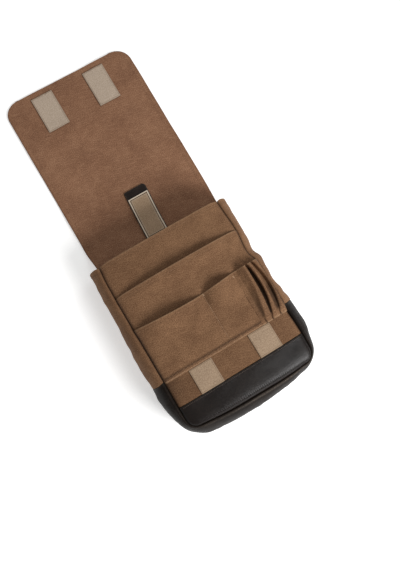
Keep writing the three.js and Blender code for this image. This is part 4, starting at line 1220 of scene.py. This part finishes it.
def stitchPlaces(surface, first, second, pitch, turn):
    # points pitch apart along a line on a surface, each with its direction and the surface's normal
    fine = np.linspace(0, 1, 1600)
    known = np.linspace(0, 1, len(first))
    a, b = np.interp(fine, known, first), np.interp(fine, known, second)
    line = surface(a, b)
    run = np.concatenate([[0], np.cumsum(np.linalg.norm(np.diff(line, axis=0), axis=1))])
    count = max(int(run[-1] / pitch), 1)
    at = (np.arange(count) + 0.5) * run[-1] / count
    pick = np.interp(at, run, fine)
    a, b = np.interp(pick, fine, a), np.interp(pick, fine, b)
    centre = surface(a, b)
    normal = np.cross(surface(a + 0.4, b) - centre, surface(a, b + 0.4) - centre)
    normal /= np.linalg.norm(normal, axis=1, keepdims=True)
    onLine = lambda where: np.stack([np.interp(where, run, line[:, k]) for k in range(3)], -1)
    ahead = onLine(at + 0.5) - onLine(at - 0.5)
    ahead -= normal * (ahead * normal).sum(1, keepdims=True)
    ahead /= np.maximum(np.linalg.norm(ahead, axis=1, keepdims=True), 1e-9)
    if turn:
        ahead = np.cross(normal, ahead)
    return centre, ahead, normal


def sewThreads(name, rows, material, slotName):
    # every row is (surface, first, second, pitch, length, radius, lift, turn)
    spots, faces, count = [], [], 0
    for surface, first, second, pitch, length, radius, lift, turn in rows:
        centre, ahead, normal = stitchPlaces(surface, first, second, pitch, turn)
        shape, quads, ends = threadShape(length, radius)
        ways = np.stack([ahead, np.cross(normal, ahead), normal], 1)
        spots.append(((centre + normal * lift)[:, None] + shape @ ways).reshape(-1, 3))
        starts = count + len(shape) * np.arange(len(centre))[:, None, None]
        faces += (quads + starts).reshape(-1, 4).tolist() + (ends + starts).reshape(-1, 3).tolist()
        count += len(shape) * len(centre)
    return finishPiece(fillMesh(name, np.concatenate(spots), faces), material, slotName)


def straight(x0, y0, x1, y1):
    # both ends of a straight row
    return np.array([x0, x1], float), np.array([y0, y1], float)


def loop(x0, y0, x1, y1):
    # the corners of a closed row
    return np.array([x0, x1, x1, x0, x0], float), np.array([y0, y0, y1, y1, y0], float)


stitch = {"pitch": 3.4, "length": 2.5, "radius": 0.36, "lift": 0.05, "turn": False}
common = tuple(stitch.values())
tapeFace = np.array([0, 0, gap + patches["thick"]])
patchTop = lambda x, y: onFront(x, y) + tapeFace
hookTop = lambda x, y: flapTop(x, y) + tapeFace
tabPatchTop = lambda x, y: tabTop(x, y) + tapeFace
leatherTopFace = lambda x, y: leatherPoint(x / frontHalf, y)
divider, pocketX = lowerPocket["divider"], np.linspace(-134, 78, 60)

sewThreads("mouthStitches", [
    (frontWallTop, *straight(-134, -8.5, 134, -8.5), *common),
    (middleTop, *straight(-134, -81.5, 134, -81.5), *common),
    (lowerTop, pocketX, lowerEdge(pocketX) - 7.5, *common),
], plainThread, "canvas")
sewThreads("canvasStitches", [
    (lowerTop, *straight(-136, -261.6, 78, -261.6), 3.0, 2.3, 0.46, 0.16, False),
    (lowerTop, *straight(divider, -154, divider, -252), 3.2, 2.4, 0.36, 0.15, False),
    (lowerTop, *straight(divider, -150.8, divider, -156.5), 0.8, 6.0, 0.42, 0.2, True),
    (lowerTop, *straight(77.6, -151, 77.6, -156.5), 0.8, 4.0, 0.4, 0.1, True),
], paleThread, "canvas")
sewThreads("hemStitches", [
    (lowerTop, *straight(-135, -256.8, 78, -256.8), 2.7, 5.4, 0.42, 0.0, True),
], brownThread, "canvas")
tabEnds = np.array([103.5, 103.5, 14.0, 14.0, 103.5])
tabSides = np.array([-19.75, 19.75, 19.75, -19.75, -19.75]) + tabMiddle(tabEnds)
sewThreads("tabStitches", [
    (tabPatchTop, tabSides, tabEnds, 4.6, 3.6, 0.6, 0.1, False),
], blackThread, "leather")
sewThreads("leatherStitches", [
    (leatherTopFace, *straight(-132, -319.9, 132, -319.9), 3.4, 2.5, 0.36, 0.0, False),
], darkThread, "leather")
sewThreads("tapeStitches", [
    (patchTop, *loop(-88.6, -266.8, -43.4, -313.2), *common),
    (patchTop, *loop(43.4, -266.8, 88.6, -313.2), *common),
    (hookTop, *loop(-85.6, 403.6, -40.4, 324.4), *common),
    (hookTop, *loop(40.4, 403.6, 85.6, 324.4), *common),
], tapeThread, "tape")
print("stitches sewn")


# Floor, light and camera, in metres.
studio = {"sky": 0.38, "floor": (245, 245, 245), "floorPale": (247, 247, 246), "glow": 0.4,
          "reach": 6.0, "under": -0.0003, "key": 46.0, "keyAt": (0.8, -1.65, 1.42), "keySize": 0.9,
          "keyAim": (0, -0.1, 0.05), "fill": 7.0, "fillAt": (1.6, 0.5, 1.3), "fillSize": 1.2,
          "fillAim": (0, 0, 0.05)}

far, low = studio["reach"], studio["under"]
floorMesh = bpy.data.meshes.new("studioFloor")
floorCorners = [(-far, -far, low), (far, -far, low), (far, far, low), (-far, far, low)]
floorMesh.from_pydata(floorCorners, [], [(0, 1, 2, 3)])
floor = bpy.data.objects.new("studioFloor", floorMesh)
bpy.context.scene.collection.objects.link(floor)
floorPaint, floorTree, floorShader, floorWhere = startMaterial(
    "studioPaper", "Object", **{"Roughness": 0.9, "Specular IOR Level": 0.1})
floorTone = ranged(floorTree, cloudy(floorTree, floorWhere, 3, 2), 0.3, 0.7)
floorTint = blendColour(floorTree, floorTone, shade(*studio["floor"]), shade(*studio["floorPale"]))
floorTree.links.new(floorTint, floorShader.inputs["Base Color"])
floorShader.inputs["Emission Color"].default_value = (1, 1, 1, 1)
floorShader.inputs["Emission Strength"].default_value = studio["glow"]
floorMesh.materials.append(floorPaint)

world = bpy.data.worlds.new("studioSky")
world.use_nodes = True
world.node_tree.nodes["Background"].inputs[0].default_value = (1.0, 0.995, 0.985, 1)
world.node_tree.nodes["Background"].inputs[1].default_value = studio["sky"]
bpy.context.scene.world = world


def softLight(name, spot, aim, size, power):
    # a square light that faces its aim
    light = bpy.data.lights.new(name, "AREA")
    light.shape, light.size, light.energy = "SQUARE", size, power
    lamp = bpy.data.objects.new(name, light)
    lamp.location = spot
    lamp.rotation_euler = (Vector(aim) - Vector(spot)).to_track_quat("-Z", "Y").to_euler()
    bpy.context.scene.collection.objects.link(lamp)


softLight("keyLight", studio["keyAt"], studio["keyAim"], studio["keySize"], studio["key"])
softLight("fillLight", studio["fillAt"], studio["fillAim"], studio["fillSize"], studio["fill"])

# The camera: where the lines of the bag put it, turned about the axis that it looks along.
view = {"eye": (-97.946, -192.480, 1113.125), "roll": 30.6076, "tiltX": -0.0578587, "tiltY": 0.1093161,
        "focal": 521.0, "photoHigh": 570, "sensor": 36}
roll = math.radians(view["roll"])
turnPlane = np.array([[math.cos(roll), -math.sin(roll), 0], [math.sin(roll), math.cos(roll), 0], [0, 0, 1]])
tilt = np.array([view["tiltX"], view["tiltY"], 0.0])
amount = np.linalg.norm(tilt)
k = tilt / amount
crossK = np.array([[0, -k[2], k[1]], [k[2], 0, -k[0]], [-k[1], k[0], 0]])
tiltTurn = np.eye(3) + math.sin(amount) * crossK + (1 - math.cos(amount)) * crossK @ crossK
axes = turnPlane @ tiltTurn          # rows: the picture's right, its up, and back towards the eye
lens = bpy.data.cameras.new("photoCamera")
lens.sensor_width = view["sensor"]
lens.lens = view["focal"] / view["photoHigh"] * view["sensor"]
camera = bpy.data.objects.new("photoCamera", lens)
eye = Vector((view["eye"][0], view["eye"][1] + mouthY, view["eye"][2])) * 0.001
camera.matrix_world = Matrix.Translation(eye) @ Matrix(axes.T.tolist()).to_4x4()
bpy.context.scene.collection.objects.link(camera)
bpy.context.scene.camera = camera
bpy.context.scene.view_settings.view_transform = "Standard"
bpy.context.scene.view_settings.look = "None"
print("floor, light and camera set")
